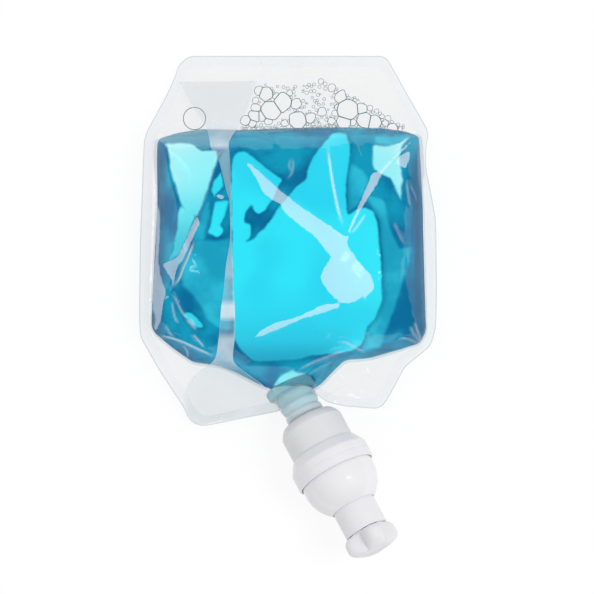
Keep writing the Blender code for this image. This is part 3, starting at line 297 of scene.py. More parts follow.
# Foam: large bubbles as (across, down, radius) in pixels, and where the small ones are strewn
BUBBLES = [
    (347.6, 109.8, 10.5), (340.6, 97.2, 5.6), (361.7, 108.4, 5.0), (374.3, 122.4, 7.0),
    (364.5, 120.3, 7.5), (385.5, 123.0, 3.0), (392.5, 128.3, 5.0), (400.2, 128.7, 1.8),
    (388.0, 118.6, 2.2), (344.0, 121.7, 7.0), (352.5, 122.4, 3.0), (331.5, 121.0, 3.5),
    (297.8, 120.3, 8.5), (270.5, 110.5, 9.0), (283.0, 102.0, 8.5), (266.3, 93.7, 6.5), (259.3, 90.9, 3.5),
    (255.8, 100.7, 2.5), (255.8, 107.7, 3.5), (255.0, 116.0, 5.0), (252.3, 123.8, 3.5),
    (268.4, 121.0, 3.0), (262.0, 116.0, 4.2), (284.5, 123.1, 3.0), (296.0, 104.0, 5.0),
    (310.0, 118.0, 5.0), (322.0, 112.0, 4.0), (246.0, 121.0, 4.0), (276.0, 96.0, 2.6), (290.0, 93.0, 2.4),
    (332.0, 88.0, 3.0), (337.0, 107.0, 2.4), (335.0, 113.5, 2.4), (194.5, 118.5, 8.0),
]
FOAM_REGION = [(236, 134), (258, 80), (322, 78), (424, 136)]
FROTH_COUNT = 560
LINE_BUBBLES = 110
BUBBLE_SIDES = 6
BUBBLE_GROWTH = 1.4
BUBBLE_WALL = 0.15
FOAM_LIFT = -0.00022
FOAM_LINE = [(322.0, 80.0), (404.0, 127.0)]
FROTH_ACROSS = (241.0, 404.0)
FROTH_DEPTH = 2.8
SOAP_LINE_LEFT = 131.5
SOAP_LINE_RIGHT = 128.5
SOAP_LINE_STEP = (300.0, 330.0)
MIST_ACROSS = (246.0, 400.0)
MIST_DOWN = (84.0, 124.0)
TUBE_RADIUS = 0.000095
TUBE_GROWTH = 0.000016
TUBE_FULL_SIZE = 7.0

# Turned parts of the pump: sections as (radius, height) along its axis
HOUSING_SECTION = [
    (0.0018, -0.0380), (0.0060, -0.0380), (0.0060, -0.0300), (0.0073, -0.0300), (0.0073, -0.0290),
    (0.0062, -0.0290), (0.0062, -0.0272), (0.0073, -0.0272), (0.0073, -0.0245), (0.0143, -0.0245),
    (0.0160, -0.0225), (0.0174, -0.0200), (0.0174, 0.0020), (0.0200, 0.0020), (0.0200, 0.0036),
    (0.0159, 0.0036), (0.0159, -0.0185), (0.0060, -0.0185), (0.0060, -0.0053), (0.0050, -0.0053),
    (0.0050, -0.0319), (0.0042, -0.0319), (0.0042, -0.0368), (0.0018, -0.0368),
]
RING_SECTION = [
    (0.0177, -0.0056), (0.0184, -0.0056), (0.0203, -0.0024), (0.0214, -0.0006), (0.0218, 0.0002),
    (0.0218, 0.0042), (0.0216, 0.0045), (0.0218, 0.0048), (0.0218, 0.0089), (0.0213, 0.0095),
    (0.0206, 0.0095), (0.0206, 0.0017), (0.0177, 0.0017),
]
NOZZLE_SECTION = [
    (0.0101, 0.0038), (0.0117, 0.0038), (0.0117, 0.0142), (0.0150, 0.0142), (0.0150, 0.0157),
    (0.0117, 0.0157), (0.0117, 0.0440), (0.0101, 0.0440), (0.0101, 0.0290), (0.0054, 0.0290),
    (0.0054, 0.0275), (0.0101, 0.0275),
]
DOME_RADIUS = 0.02025
DOME_INNER_RADIUS = 0.01875
DOME_CENTRE_Z = 0.0127
DOME_EDGE_Z = 0.0052
GUIDE_BORE = 0.0120
GUIDE_RADIUS = 0.0135
GUIDE_FOOT_Z = 0.0160

# Spout: its boat-shaped foot as (half width, half depth, height) rings, and its beaded neck
BOAT_RINGS = [
    (0.0125, 0.0083, -0.0475), (0.0132, 0.0086, -0.0471), (0.0135, 0.0087, -0.0464),
    (0.0135, 0.0087, -0.0436), (0.0132, 0.0086, -0.0431), (0.0094, 0.0087, -0.0428),
]
NECK_RADIUS = 0.0094
NECK_END_Z = -0.0248
SPOUT_BORE = 0.0076
BEAD_RADIUS = 0.0106
BEAD_STARTS = (-0.0414, -0.03595, -0.0305)
BEAD_LENGTH = 0.00445
BEAD_STEPS = 11
LAST_BEAD_END_Z = -0.0258

# Winged cap: a four-lobed knob, swelling from its foot and rounded at its end, and its plug's section
CAP_TURN = -14.0
CAP_SIDES = 144
CAP_RINGS = 40
CAP_FOOT_Z = 0.0441
CAP_END_Z = 0.0555
CAP_FOOT_REACH = 0.0104
CAP_REACH = 0.0146
CAP_FOOT_WAIST = 0.0100
CAP_WAIST = 0.0078
CAP_CURVE_SHARE = 0.42
CAP_END_FALL = 0.62
PLUG_SECTION = [(0.0086, 0.0370), (0.0098, 0.0370), (0.0098, 0.0450), (0.0086, 0.0450)]

# Return spring
SPRING_TURNS = 6
SPRING_STEPS = 36
SPRING_RADIUS = 0.0036
SPRING_FOOT_Z = -0.0300
SPRING_TOP_Z = -0.0127
WIRE_RADIUS = 0.0004
WIRE_SIDES = 8

# Soap, plastics and the lap's milkiness with its painted highlights, as (down, share)
LIQUID_IOR = 1.12
LAP_FROST_AND_HIGHLIGHTS = [
    (82.0, 0.06), (118.0, 0.10), (132.0, 0.45), (146.0, 0.62), (150.0, 0.22), (162.0, 0.20),
    (200.0, 0.26), (250.0, 0.34), (274.0, 0.40), (281.0, 0.22), (299.0, 0.18), (306.0, 0.72),
    (316.0, 0.70), (322.0, 0.12), (332.0, 0.14), (340.0, 0.55), (360.0, 0.58), (372.0, 0.14),
    (425.0, 0.08),
]
LIQUID_DENSITY = 26.0
PLASTIC_IOR = 1.48
LAP_TOP = 80.0
LAP_FOOT = 430.0

# Light of the room
WORLD_LIGHT = 0.66
WORLD_MIRRORED = 0.14
FLOOR_GLOW = 1.04
FLOOR_GLOW_SHARE = 0.84
FLOOR_REACH = 3.0

# Mesh fineness
FRONT_GRID = 270
BACK_GRID = 120
LIQUID_GRID = 200
ROUND_SIDES = 96
HALVINGS = 26
SEAM_STEPS = 4
SURFACE_STEPS = 10
TINY = 1e-9


def mix(first, second, share):
    """Straight blend of two numbers or arrays."""
    return first + (second - first) * share


def between(low, high, value):
    """Smooth step of value from low to high, from 0 to 1."""
    share = np.clip((value - low) / (high - low), 0.0, 1.0)
    return share * share * (3.0 - 2.0 * share)


# Camera and the places of pixels
VIEW_AWAY = np.array([0.0, math.cos(CAMERA_ELEVATION), -math.sin(CAMERA_ELEVATION)])
VIEW_UP = np.array([0.0, math.sin(CAMERA_ELEVATION), math.cos(CAMERA_ELEVATION)])
CAMERA_PLACE = np.array(CAMERA_TARGET) - VIEW_AWAY * CAMERA_DISTANCE
FOCAL_PIXELS = CAMERA_DISTANCE / PIXEL
CAMERA_LENS = FOCAL_PIXELS * CAMERA_SENSOR / PICTURE


def to_picture(points):
    """Pixels at which the camera sees points of the world."""
    away = points - CAMERA_PLACE
    depth = away @ VIEW_AWAY
    across = FOCAL_PIXELS * away[..., 0] / depth
    upward = FOCAL_PIXELS * (away @ VIEW_UP) / depth
    return np.stack([PICTURE / 2.0 + across, PICTURE / 2.0 - upward], axis=-1)


def from_picture(pixels, height):
    """Points of the world at a height, seen at the pixels, as (x, y) in the pouch's frame."""
    pixels = np.asarray(pixels, float)
    across = (pixels[..., 0] - PICTURE / 2.0) / FOCAL_PIXELS
    upward = (PICTURE / 2.0 - pixels[..., 1]) / FOCAL_PIXELS
    ray = VIEW_AWAY + across[..., None] * np.array([1.0, 0.0, 0.0]) + upward[..., None] * VIEW_UP
    reach = (height - CAMERA_PLACE[2]) / ray[..., 2]
    place = CAMERA_PLACE + ray * np.asarray(reach)[..., None]
    return np.stack([place[..., 0], place[..., 1] - PACK_SHIFT_Y], axis=-1)


# Form of the pouch, as in the CAD model
def seam_height(x, y):
    """Height of the plane where the two films meet."""
    high = between(LIQUID_TOP_Y - SEAM_TOP_FALL, BAG_TOP_Y, y)
    low = between(LIQUID_SIDE_Y + SEAM_FOOT_FALL, LIQUID_FOOT_Y, y)
    height = mix(mix(SEAM_HEIGHT, SEAM_TOP_HEIGHT, high), SEAM_SPOUT_HEIGHT, low)
    beside = between(SEAM_SPOUT_HALF_WIDTH, BAG_FOOT_RIGHT_X, np.abs(x))
    below = between(LIQUID_TAPER_Y, BAG_FOOT_LEFT_Y, y)
    return mix(height, SEAM_FOOT_HEIGHT, beside * below)


def outline_in_pouch(pixels):
    """An outline in the pouch's frame, at the height of the seam."""
    places = from_picture(pixels, np.full(len(pixels), SEAM_HEIGHT))
    for _ in range(SEAM_STEPS):
        places = from_picture(pixels, seam_height(places[:, 0], places[:, 1]))
    return places


def rounded(points, cut, steps=5):
    """A closed outline with each corner cut back and rounded."""
    points = np.asarray(points, float)
    result = []
    for before, corner, after in zip(np.roll(points, 1, 0), points, np.roll(points, -1, 0)):
        ends = []
        for other in (before, after):
            reach = np.linalg.norm(other - corner)
            ends.append(corner + (other - corner) * min(cut / reach, 0.45))
        for share in np.linspace(0.0, 1.0, steps):
            first = mix(ends[0], corner, share)
            second = mix(corner, ends[1], share)
            result.append(mix(first, second, share))
    return np.array(result)


def ray_lengths(outline, angles):
    """Distances from the pouch's centre to an outline along directions."""
    first = outline - np.array([0.0, POUCH_CENTRE_Y])
    second = np.roll(first, -1, 0)
    edge = second - first
    lengths = np.zeros(len(angles))
    for start in range(0, len(angles), 4096):
        part = angles[start : start + 4096]
        dx = np.cos(part)[:, None]
        dy = np.sin(part)[:, None]
        cross = dx * edge[:, 1] - dy * edge[:, 0]
        cross = np.where(np.abs(cross) < TINY, TINY, cross)
        along = (first[:, 0] * edge[:, 1] - first[:, 1] * edge[:, 0]) / cross
        share = (first[:, 0] * dy - first[:, 1] * dx) / cross
        hit = (along > 0.0) & (share >= -1e-6) & (share <= 1.0 + 1e-6)
        lengths[start : start + 4096] = np.where(hit, along, 0.0).max(1)
    return lengths


FILM_EDGE = rounded(outline_in_pouch(FILM_OUTLINE), 0.0035)
LIQUID_EDGE = rounded(outline_in_pouch(LIQUID_OUTLINE), 0.0025)
RAY_STEPS = 2880
RAY_ANGLES = np.linspace(0.0, 2.0 * math.pi, RAY_STEPS, endpoint=False)
FILM_LENGTHS = ray_lengths(FILM_EDGE, RAY_ANGLES)
LIQUID_LENGTHS = ray_lengths(LIQUID_EDGE, RAY_ANGLES)


def length_at(table, angle):
    """A length from a table over all directions."""
    return np.interp(angle % (2.0 * math.pi), RAY_ANGLES, table, period=2.0 * math.pi)


class Rays:
    """The lengths along many directions where the pouch's stretches end."""

    def __init__(self, angle):
        self.angle = angle
        self.film = length_at(FILM_LENGTHS, angle)
        self.liquid = length_at(LIQUID_LENGTHS, angle)
        self.above = between(POCKET_START_SINE, POCKET_FULL_SINE, np.sin(angle))
        reach = self.film - POCKET_SEAL
        sine = np.maximum(np.sin(angle), 0.05)
        top_reach = (POCKET_TOP_Y - POUCH_CENTRE_Y) / sine
        reach = np.minimum(reach, np.where(np.sin(angle) > 0.0, top_reach, reach))
        self.pocket = np.maximum(np.minimum(reach, mix(self.liquid, reach, self.above)), self.liquid + 0.0015)
        crown = 1.0 / np.hypot(np.cos(angle) / CROWN_HALF_WIDTH, np.sin(angle) / CROWN_HALF_LENGTH)
        self.crown = np.minimum(crown, self.liquid)
        self.half_gap = mix(SIDE_HALF_GAP, POCKET_HALF_GAP, self.above)

    def place(self, length):
        """Places in the pouch's frame at distances from its centre."""
        return length * np.cos(self.angle), POUCH_CENTRE_Y + length * np.sin(self.angle)

    def pillow_share(self, length):
        """Level of the pillow at a distance from the centre, found by halving."""
        low = np.zeros_like(length)
        high = np.ones_like(length)
        for _ in range(HALVINGS):
            middle = (low + high) / 2.0
            reach = middle * mix(self.crown, self.liquid, middle * middle)
            inside = reach < length
            low = np.where(inside, middle, low)
            high = np.where(inside, high, middle)
        return (low + high) / 2.0

    def heights(self, length):
        """Front and back height of the films at distances from the centre."""
        x, y = self.place(length)
        seam = seam_height(x, y)
        share = self.pillow_share(np.minimum(length, self.liquid))
        rise = np.maximum(1.0 - share**PILLOW_ROUNDNESS, 0.0) ** PILLOW_FULLNESS
        rest = np.clip((share - FLAT_SHARE) / (1.0 - FLAT_SHARE), 0.0, 1.0)
        fall = np.maximum(1.0 - rest**KEEL_ROUNDNESS, 0.0) ** KEEL_FULLNESS
        across = np.clip((length - self.liquid) / (self.pocket - self.liquid), 0.0, 1.0)
        gap = mix(self.half_gap, SEAL_HALF_GAP, across)
        top = seam + gap + (PILLOW_HEIGHT - seam - gap) * rise
        bottom = (seam - gap) * (1.0 - fall)
        return top, np.maximum(bottom, FILM_GAP)


def disc_grid(count):
    """A square grid folded onto a disc: direction and share of the radius for each point."""
    line = np.linspace(-1.0, 1.0, count + 1)
    a, b = np.meshgrid(line, line, indexing="ij")
    level = np.maximum(np.abs(a), np.abs(b))
    safe = np.where(level < TINY, 1.0, level)
    eighth = math.pi / 4.0
    quarters = [a >= np.abs(b), b >= np.abs(a), -a >= np.abs(b)]
    angles = [eighth * b / safe, eighth * (2.0 - a / safe), eighth * (4.0 - b / safe)]
    angle = np.select(quarters, angles, eighth * (6.0 + a / safe))
    return angle.ravel(), level.ravel()


def grid_faces(rows, columns, start=0, flip=False):
    """Quads of a grid of rows by columns of cells."""
    row = columns + 1
    i, j = np.meshgrid(np.arange(rows), np.arange(columns), indexing="ij")
    corner = (start + i * row + j).ravel()
    faces = np.stack([corner, corner + row, corner + row + 1, corner + 1], axis=1)
    return faces[:, ::-1] if flip else faces


def grid_rim(count):
    """Point numbers round the edge of a grid, in order."""
    row = count + 1
    sides = [
        [i * row for i in range(count)],
        [count * row + j for j in range(count)],
        [i * row + count for i in range(count, 0, -1)],
        [j for j in range(count, 0, -1)],
    ]
    return [number for side in sides for number in side]


def make_piece(name, points, faces, material, body, smooth_angle=180.0):
    """A mesh object that rides on a CAD body."""
    mesh = bpy.data.meshes.new(name)
    mesh.from_pydata([tuple(point) for point in points], [], [tuple(face) for face in faces])
    mesh.shade_smooth()
    if smooth_angle < 180.0:
        mesh.set_sharp_from_angle(angle=math.radians(smooth_angle))
    mesh.materials.append(material)
    piece = bpy.data.objects.new(name, mesh)
    bpy.context.scene.collection.objects.link(piece)
    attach(piece, body)
    return piece


def add_value(piece, name, values):
    """A number at each point of a piece, which its material reads."""
    layer = piece.data.attributes.new(name, "FLOAT", "POINT")
    layer.data.foreach_set("value", np.asarray(values, np.float32))


# Shapes in the picture
def outline_distance(pixels, outline):
    """Distance in pixels to an outline, above zero inside it."""
    outline = np.asarray(outline, float)
    nearest = np.full(len(pixels), 1e9)
    inside = np.zeros(len(pixels), bool)
    for first, second in zip(outline, np.roll(outline, -1, 0)):
        edge = second - first
        away = pixels - first
        share = np.clip(away @ edge / (edge @ edge), 0.0, 1.0)
        nearest = np.minimum(nearest, np.linalg.norm(away - share[:, None] * edge, axis=1))
        if abs(edge[1]) > TINY:
            between_ends = (first[1] > pixels[:, 1]) != (second[1] > pixels[:, 1])
            cross = first[0] + (pixels[:, 1] - first[1]) / edge[1] * edge[0]
            inside ^= between_ends & (pixels[:, 0] < cross)
    return np.where(inside, nearest, -nearest)


def line_distance(pixels, line):
    """Signed distance in pixels to an open line, its sign the side, and the share of the way along it."""
    line = np.asarray(line, float)
    best = np.full(len(pixels), 1e9)
    signed = np.full(len(pixels), 1e9)
    along = np.zeros(len(pixels))
    steps = np.linalg.norm(np.diff(line, axis=0), axis=1)
    walked = np.concatenate([[0.0], np.cumsum(steps)]) / steps.sum()
    for first, second, begin, end in zip(line, line[1:], walked, walked[1:]):
        edge = second - first
        away = pixels - first
        share = np.clip(away @ edge / (edge @ edge), 0.0, 1.0)
        offset = away - share[:, None] * edge
        reach = np.linalg.norm(offset, axis=1)
        side = np.sign(edge[0] * away[:, 1] - edge[1] * away[:, 0])
        nearer = reach < best
        best = np.where(nearer, reach, best)
        signed = np.where(nearer, reach * side, signed)
        along = np.where(nearer, mix(begin, end, share), along)
    return signed, along


def smooth_line(points, steps=6):
    """A smooth line through points."""
    points = np.asarray(points, float)
    ends = np.concatenate([[2 * points[0] - points[1]], points, [2 * points[-1] - points[-2]]])
    result = []
    for p0, p1, p2, p3 in zip(ends, ends[1:], ends[2:], ends[3:]):
        for t in np.linspace(0.0, 1.0, steps, endpoint=False):
            curve = 2 * p1 + (p2 - p0) * t + (2 * p0 - 5 * p1 + 4 * p2 - p3) * t**2
            result.append((curve + (3 * p1 - p0 - 3 * p2 + p3) * t**3) / 2.0)
    result.append(points[-1])
    return np.array(result)


def ridge(pixels, crease):
    """Height of one crease, a tent along its line that fades at its ends."""
    line, height, right, left, _ = crease
    signed, along = line_distance(pixels, smooth_line(line))
    width = np.where(signed > 0.0, right, left)
    tent = np.maximum(1.0 - np.abs(signed) / width, 0.0)
    ends = between(0.0, 0.12, along) * between(0.0, 0.12, 1.0 - along)
    return height * tent * (0.35 + 0.65 * ends)


def waves(places, length, seed):
    """Smooth unevenness between about -1 and 1, a sum of slanted sine waves."""
    chance = np.random.default_rng(seed)
    total = np.zeros(len(places))
    count = 9
    for _ in range(count):
        turn = chance.uniform(0.0, math.pi)
        stretch = length * chance.uniform(0.6, 1.7)
        phase = chance.uniform(0.0, 2.0 * math.pi)
        bend = chance.uniform(0.5, 2.0)
        across = places @ np.array([math.cos(turn), math.sin(turn)])
        beside = places @ np.array([-math.sin(turn), math.cos(turn)])
        total += np.sin(2.0 * math.pi * across / stretch + phase + bend * np.sin(beside / length))
    return total / count**0.5


def relief(points, creases):
    """Height of all creases and of the film's unevenness at points of the world."""
    pixels = to_picture(points)
    total = np.zeros(len(points))
    for crease in creases:
        total = np.maximum(total, ridge(pixels, crease))
    total += SWELL_HEIGHT * waves(points[:, :2], SWELL_LENGTH, WRINKLE_SEED)
    return total + RIPPLE_HEIGHT * waves(points[:, :2], RIPPLE_LENGTH, WRINKLE_SEED + 1)


def painted_crease_highlight(points, creases, width):
    """How strong the highlight painted along the film's creases is, 1 on the crest."""
    pixels = to_picture(points)
    total = np.zeros(len(points))
    for line, _, _, _, strength in creases:
        if strength > 0.0:
            signed, along = line_distance(pixels, smooth_line(line))
            fade = between(0.0, 0.25, along) * between(0.0, 0.25, 1.0 - along)
            near = np.maximum(1.0 - np.abs(signed) / width, 0.0)
            total = np.maximum(total, near * fade * strength)
    return total


# Pieces of the pouch
def pillow_lengths(share, rays):
    """Distances from the centre where the pillow has that share of its size."""
    gathered = mix(share, np.sin(share * math.pi / 2.0), RIM_GATHER)
    return gathered * mix(rays.crown, rays.liquid, gathered * gathered)


def film_points(count, front):
    """Points of the front or back film, as a folded grid."""
    angle, level = disc_grid(count)
    rays = Rays(angle)
    inner = pillow_lengths(np.minimum(level / FILM_INNER_SHARE, 1.0), rays)
    outer = mix(rays.liquid, rays.film, np.maximum(level - FILM_INNER_SHARE, 0.0) / (1.0 - FILM_INNER_SHARE))
    length = np.where(level <= FILM_INNER_SHARE, inner, outer)
    x, y = rays.place(length)
    top, bottom = rays.heights(length)
    return np.stack([x, y + PACK_SHIFT_Y, top if front else bottom], axis=1), rays, length


def build_film(material):
    """The two films, sealed to each other round the edge."""
    points, rays, length = film_points(FRONT_GRID, True)
    points[:, 2] += relief(points, CREASES + MARGIN_WRINKLES)
    faces = grid_faces(FRONT_GRID, FRONT_GRID)
    front = make_piece("film_front", points, faces, material, "pack")
    add_film_values(front, points, rays, length)
    points, rays, length = film_points(BACK_GRID, False)
    faces = grid_faces(BACK_GRID, BACK_GRID, flip=True)
    back = make_piece("film_back", points, faces, material, "pack")
    add_film_values(back, points, rays, length, plain=True)
    for piece in (front, back):
        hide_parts("pouch_film")


def add_film_values(piece, points, rays, length, plain=False):
    """Numbers that the film's material reads: highlights painted on creases, painted reflections, distance to
    the edge and to the liquid.
    """
    nowhere = np.full(len(points), NOWHERE)
    pixels = to_picture(points)
    creases = [] if plain else CREASES + MARGIN_WRINKLES
    # Highlights painted along the crests of the creases, read as milky white
    add_value(piece, "white", painted_crease_highlight(points, creases, CREASE_HIGHLIGHT_WIDTH))
    add_value(piece, "painted_reflection", nowhere if plain else nearest_zone(pixels, PAINTED_REFLECTION_ZONES))
    add_value(piece, "faint_reflection", nowhere if plain else nearest_zone(pixels, FAINT_PAINTED_REFLECTION_ZONES))
    add_value(piece, "edge", (rays.film - length) * 1000.0)
    add_value(piece, "outside", (length - rays.liquid) * 1000.0)


def tube_faces(rings, sides, closed=False, capped=False):
    """Quads between rings of points, and a face over each end where the tube is capped."""
    faces = []
    for i in range(rings if closed else rings - 1):
        low = i * sides
        high = (i + 1) % rings * sides
        for j in range(sides):
            k = (j + 1) % sides
            faces.append((low + j, low + k, high + k, high + j))
    if capped:
        faces.append(tuple(range(sides))[::-1])
        faces.append(tuple((rings - 1) * sides + k for k in range(sides)))
    return faces


def shifted(faces, start):
    """Faces of points that are numbered on from a start."""
    return [tuple(start + number for number in face) for face in faces]


def tube_points(line, beside, up, radius, sides):
    """Rings of points round a line, each in the plane of two directions."""
    turn = np.arange(sides) * 2.0 * math.pi / sides
    ring = np.cos(turn)[None, :, None] * beside[:, None] + np.sin(turn)[None, :, None] * up[:, None]
    return (line[:, None] + radius * ring).reshape(-1, 3)


def ellipse_ring(width, depth, z):
    """A ring of points round the pump's axis."""
    turn = np.arange(ROUND_SIDES) * 2.0 * math.pi / ROUND_SIDES
    return np.stack([width * np.sin(turn), -depth * np.cos(turn), np.full(ROUND_SIDES, z)], axis=1)


PUMP_PLACE = Matrix.Translation(
    (PUMP_X, PUMP_Y + PACK_SHIFT_Y, RING_RADIUS * math.cos(PUMP_RISE) + FLOOR_TOUCH)
) @ Euler((math.pi / 2.0 - PUMP_RISE, 0.0, PUMP_TURN)).to_matrix().to_4x4()


def from_pump(points):
    """Points of the pump's own frame in the world."""
    place = np.array(PUMP_PLACE)
    return np.asarray(points) @ place[:3, :3].T + place[:3, 3]


def build_sleeve(material):
    """The mouth of the films, drawn round the spout."""
    rings = [ellipse_ring(width, depth, z) for z, width, depth in SLEEVE_RINGS]
    points = from_pump(np.concatenate(rings))
    faces = tube_faces(len(rings), ROUND_SIDES)
    sleeve = make_piece("film_sleeve", points, faces, material, "pack")
    for name, value in SLEEVE_VALUES.items():
        add_value(sleeve, name, np.full(len(points), value))
    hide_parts("pouch_film")


def on_film(pixels, lift):
    """Points of the world on the front film, seen at pixels."""
    pixels = np.asarray(pixels, float)
    wrinkled = np.zeros(len(pixels))
    for crease in CREASES + MARGIN_WRINKLES:
        wrinkled = np.maximum(wrinkled, ridge(pixels, crease))
    height = np.full(len(pixels), SEAM_HEIGHT)
    for _ in range(SURFACE_STEPS):
        places = from_picture(pixels, height)
        away = places - np.array([0.0, POUCH_CENTRE_Y])
        rays = Rays(np.arctan2(away[:, 1], away[:, 0]))
        length = np.minimum(np.hypot(away[:, 0], away[:, 1]), rays.film)
        height = rays.heights(length)[0] + wrinkled + lift
    return np.column_stack([places[:, 0], places[:, 1] + PACK_SHIFT_Y, height])


def build_lap_seam(material):
    """The lapped band of film down the front, from the V at the top to the loose flap at the foot."""
    left = smooth_line(LAP_LEFT, 11)
    right = smooth_line(LAP_RIGHT, 11)
    rows = np.linspace(0.0, len(left) - 1.0, LAP_ROWS)
    spots = np.arange(len(left))
    edges = []
    for line in (left, right):
        edges.append(np.stack([np.interp(rows, spots, line[:, axis]) for axis in (0, 1)], axis=1))
    across = np.linspace(0.0, 1.0, LAP_COLUMNS)
    flat = mix(edges[0][:, None], edges[1][:, None], across[None, :, None]).reshape(-1, 2)
    points = on_film(flat, LAP_LIFT)
    along = np.repeat(np.linspace(0.0, 1.0, LAP_ROWS), LAP_COLUMNS)
    side = np.tile(across, LAP_ROWS)
    loose = between(LOOSE_START, 1.0, along)
    flutter = np.sin(side * FLUTTER_ACROSS + along * FLUTTER_ALONG) ** 2
    points[:, 2] += loose * (LOOSE_LIFT + FLUTTER_HEIGHT * flutter)
    faces = grid_faces(LAP_ROWS - 1, LAP_COLUMNS - 1)
    seam = make_piece("lap_seam", points, faces, material, "pack")
    add_value(seam, "side", side)
    add_value(seam, "down", flat[:, 1])
    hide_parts("pouch_film")


def build_liquid(material):
    """The soap between the films, and the column of it in the spout."""
    angle, level = disc_grid(LIQUID_GRID)
    rays = Rays(angle)
    length = pillow_lengths(level, rays) * (1.0 - LIQUID_SHRINK / rays.liquid)
    x, y = rays.place(length)
    top, bottom = rays.heights(length)
    front = np.stack([x, y + PACK_SHIFT_Y, top - FILM_GAP], axis=1)
    front[:, 2] += relief(front, CREASES)
    back = np.stack([x, y + PACK_SHIFT_Y, bottom + FILM_GAP], axis=1)
    total = (LIQUID_GRID + 1) ** 2
    faces = list(grid_faces(LIQUID_GRID, LIQUID_GRID))
    faces += list(grid_faces(LIQUID_GRID, LIQUID_GRID, total, flip=True))
    rim = grid_rim(LIQUID_GRID)
    for number, after in zip(rim, rim[1:] + rim[:1]):
        faces.append((after, number, number + total, after + total))
    heights = np.linspace(COLUMN_START_Z, COLUMN_END_Z, COLUMN_RINGS)
    column = from_pump(np.concatenate([ellipse_ring(COLUMN_RADIUS, COLUMN_RADIUS, z) for z in heights]))
    faces += shifted(tube_faces(COLUMN_RINGS, ROUND_SIDES, capped=True), 2 * total)
    points = np.concatenate([front, back, column])
    liquid = make_piece("liquid_body", points, faces, material, "pack")
    add_liquid_values(liquid, points, total)
    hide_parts("liquid_soap")


def nearest_zone(pixels, zones):
    """Distance into the nearest of several zones, in pixels."""
    return np.max([outline_distance(pixels, rounded(zone, ZONE_ROUNDING, 4)) for zone in zones], axis=0)


def add_liquid_values(liquid, points, front_count):
    """Numbers that the soap's material reads: how far each point lies inside the zones of light and shade
    painted for its folds.
    """
    pixels = to_picture(points)
    zones = {"bright": PAINTED_BRIGHT_ZONES, "pale": PAINTED_PALE_ZONES, "middle": PAINTED_MIDDLE_ZONES, "steel": PAINTED_STEEL_ZONES}
    for name, outlines in zones.items():
        values = np.full(len(points), NOWHERE)
        values[:front_count] = nearest_zone(pixels[:front_count], outlines)
        add_value(liquid, name, values)
    front = np.zeros(len(points))
    front[:front_count] = 1.0
    add_value(liquid, "front", front)
    add_value(liquid, "down", pixels[:, 1])
    add_value(liquid, "across", pixels[:, 0])


# Foam
def clip_outline(outline, centre, direction, reach):
    """The part of a convex outline within a distance of its centre along a direction."""
    result = []
    depth = (outline - centre) @ direction - reach
    for here, there, low, high in zip(outline, np.roll(outline, -1, 0), depth, np.roll(depth, -1)):
        if low <= 0.0:
            result.append(here)
        if (low < 0.0) != (high < 0.0):
            result.append(mix(here, there, low / (low - high)))
    return np.array(result)


def bubble_outline(circle, circles):
    """Outline of one bubble, flattened where its neighbours press on it."""
    centre = np.array(circle[:2])
    turn = np.linspace(0.0, 2.0 * math.pi, 28, endpoint=False)
    outline = centre + circle[2] * BUBBLE_GROWTH * np.stack([np.cos(turn), np.sin(turn)], axis=1)
    for other in circles:
        away = np.array(other[:2]) - centre
        gap = np.hypot(*away)
        if TINY < gap < 2.0 * BUBBLE_GROWTH * max(circle[2], other[2]) and len(outline) > 3:
            reach = (gap * gap + circle[2] ** 2 - other[2] ** 2) / (2.0 * gap)
            outline = clip_outline(outline, centre, away / gap, max(reach - BUBBLE_WALL, 0.3))
    return rounded(outline, 1.1, 3) if len(outline) > 3 else None


def foam_circles():
    """Places and sizes of the bubbles, in pixels: the large ones, a line of small ones, and the froth."""
    chance = np.random.default_rng(WRINKLE_SEED)
    circles = [tuple(bubble) for bubble in BUBBLES]
    small = []
    for _ in range(LINE_BUBBLES):
        share = chance.uniform(0.0, 1.0)
        x = mix(FOAM_LINE[0][0], FOAM_LINE[1][0], share) + chance.normal(0.0, 1.6)
        y = mix(FOAM_LINE[0][1], FOAM_LINE[1][1], share) + chance.normal(0.0, 2.2)
        small.append((x, y, chance.uniform(0.8, 2.2)))
    for _ in range(FROTH_COUNT):
        x = chance.uniform(*FROTH_ACROSS)
        soap_line = mix(SOAP_LINE_LEFT, SOAP_LINE_RIGHT, between(*SOAP_LINE_STEP, x))
        y = soap_line - abs(chance.normal(0.0, FROTH_DEPTH))
        small.append((x, y, chance.uniform(0.5, 1.5)))
    for _ in range(FROTH_COUNT // 2):
        x = chance.uniform(*MIST_ACROSS)
        y = chance.uniform(*MIST_DOWN)
        small.append((x, y, chance.uniform(0.5, 1.3)))
    for x, y, radius in small:
        inside = outline_distance(np.array([[x, y]]), FOAM_REGION)[0] > radius
        free = all(math.hypot(x - u, y - v) > radius + r * 0.95 for u, v, r in circles)
        if inside and free:
            circles.append((x, y, radius))
    return circles


def build_foam(material):
    """Bubbles over the soap, each the thin wall where two bubbles meet the film."""
    circles = foam_circles()
    outlines = []
    for circle in circles:
        outline = bubble_outline(circle, circles)
        if outline is not None:
            outlines.append((outline, TUBE_RADIUS + TUBE_GROWTH * min(circle[2], TUBE_FULL_SIZE)))
    centres = on_film(np.concatenate([outline for outline, _ in outlines]), FOAM_LIFT)
    points = []
    faces = []
    start = 0
    for outline, thickness in outlines:
        line = centres[start : start + len(outline)]
        start += len(outline)
        base = sum(len(part) for part in points)
        points.append(tube_round(line, thickness))
        faces += shifted(tube_faces(len(line), BUBBLE_SIDES, closed=True), base)
    foam = make_piece("foam_bubbles", np.concatenate(points), faces, material, "pack")
    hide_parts("foam_layer")


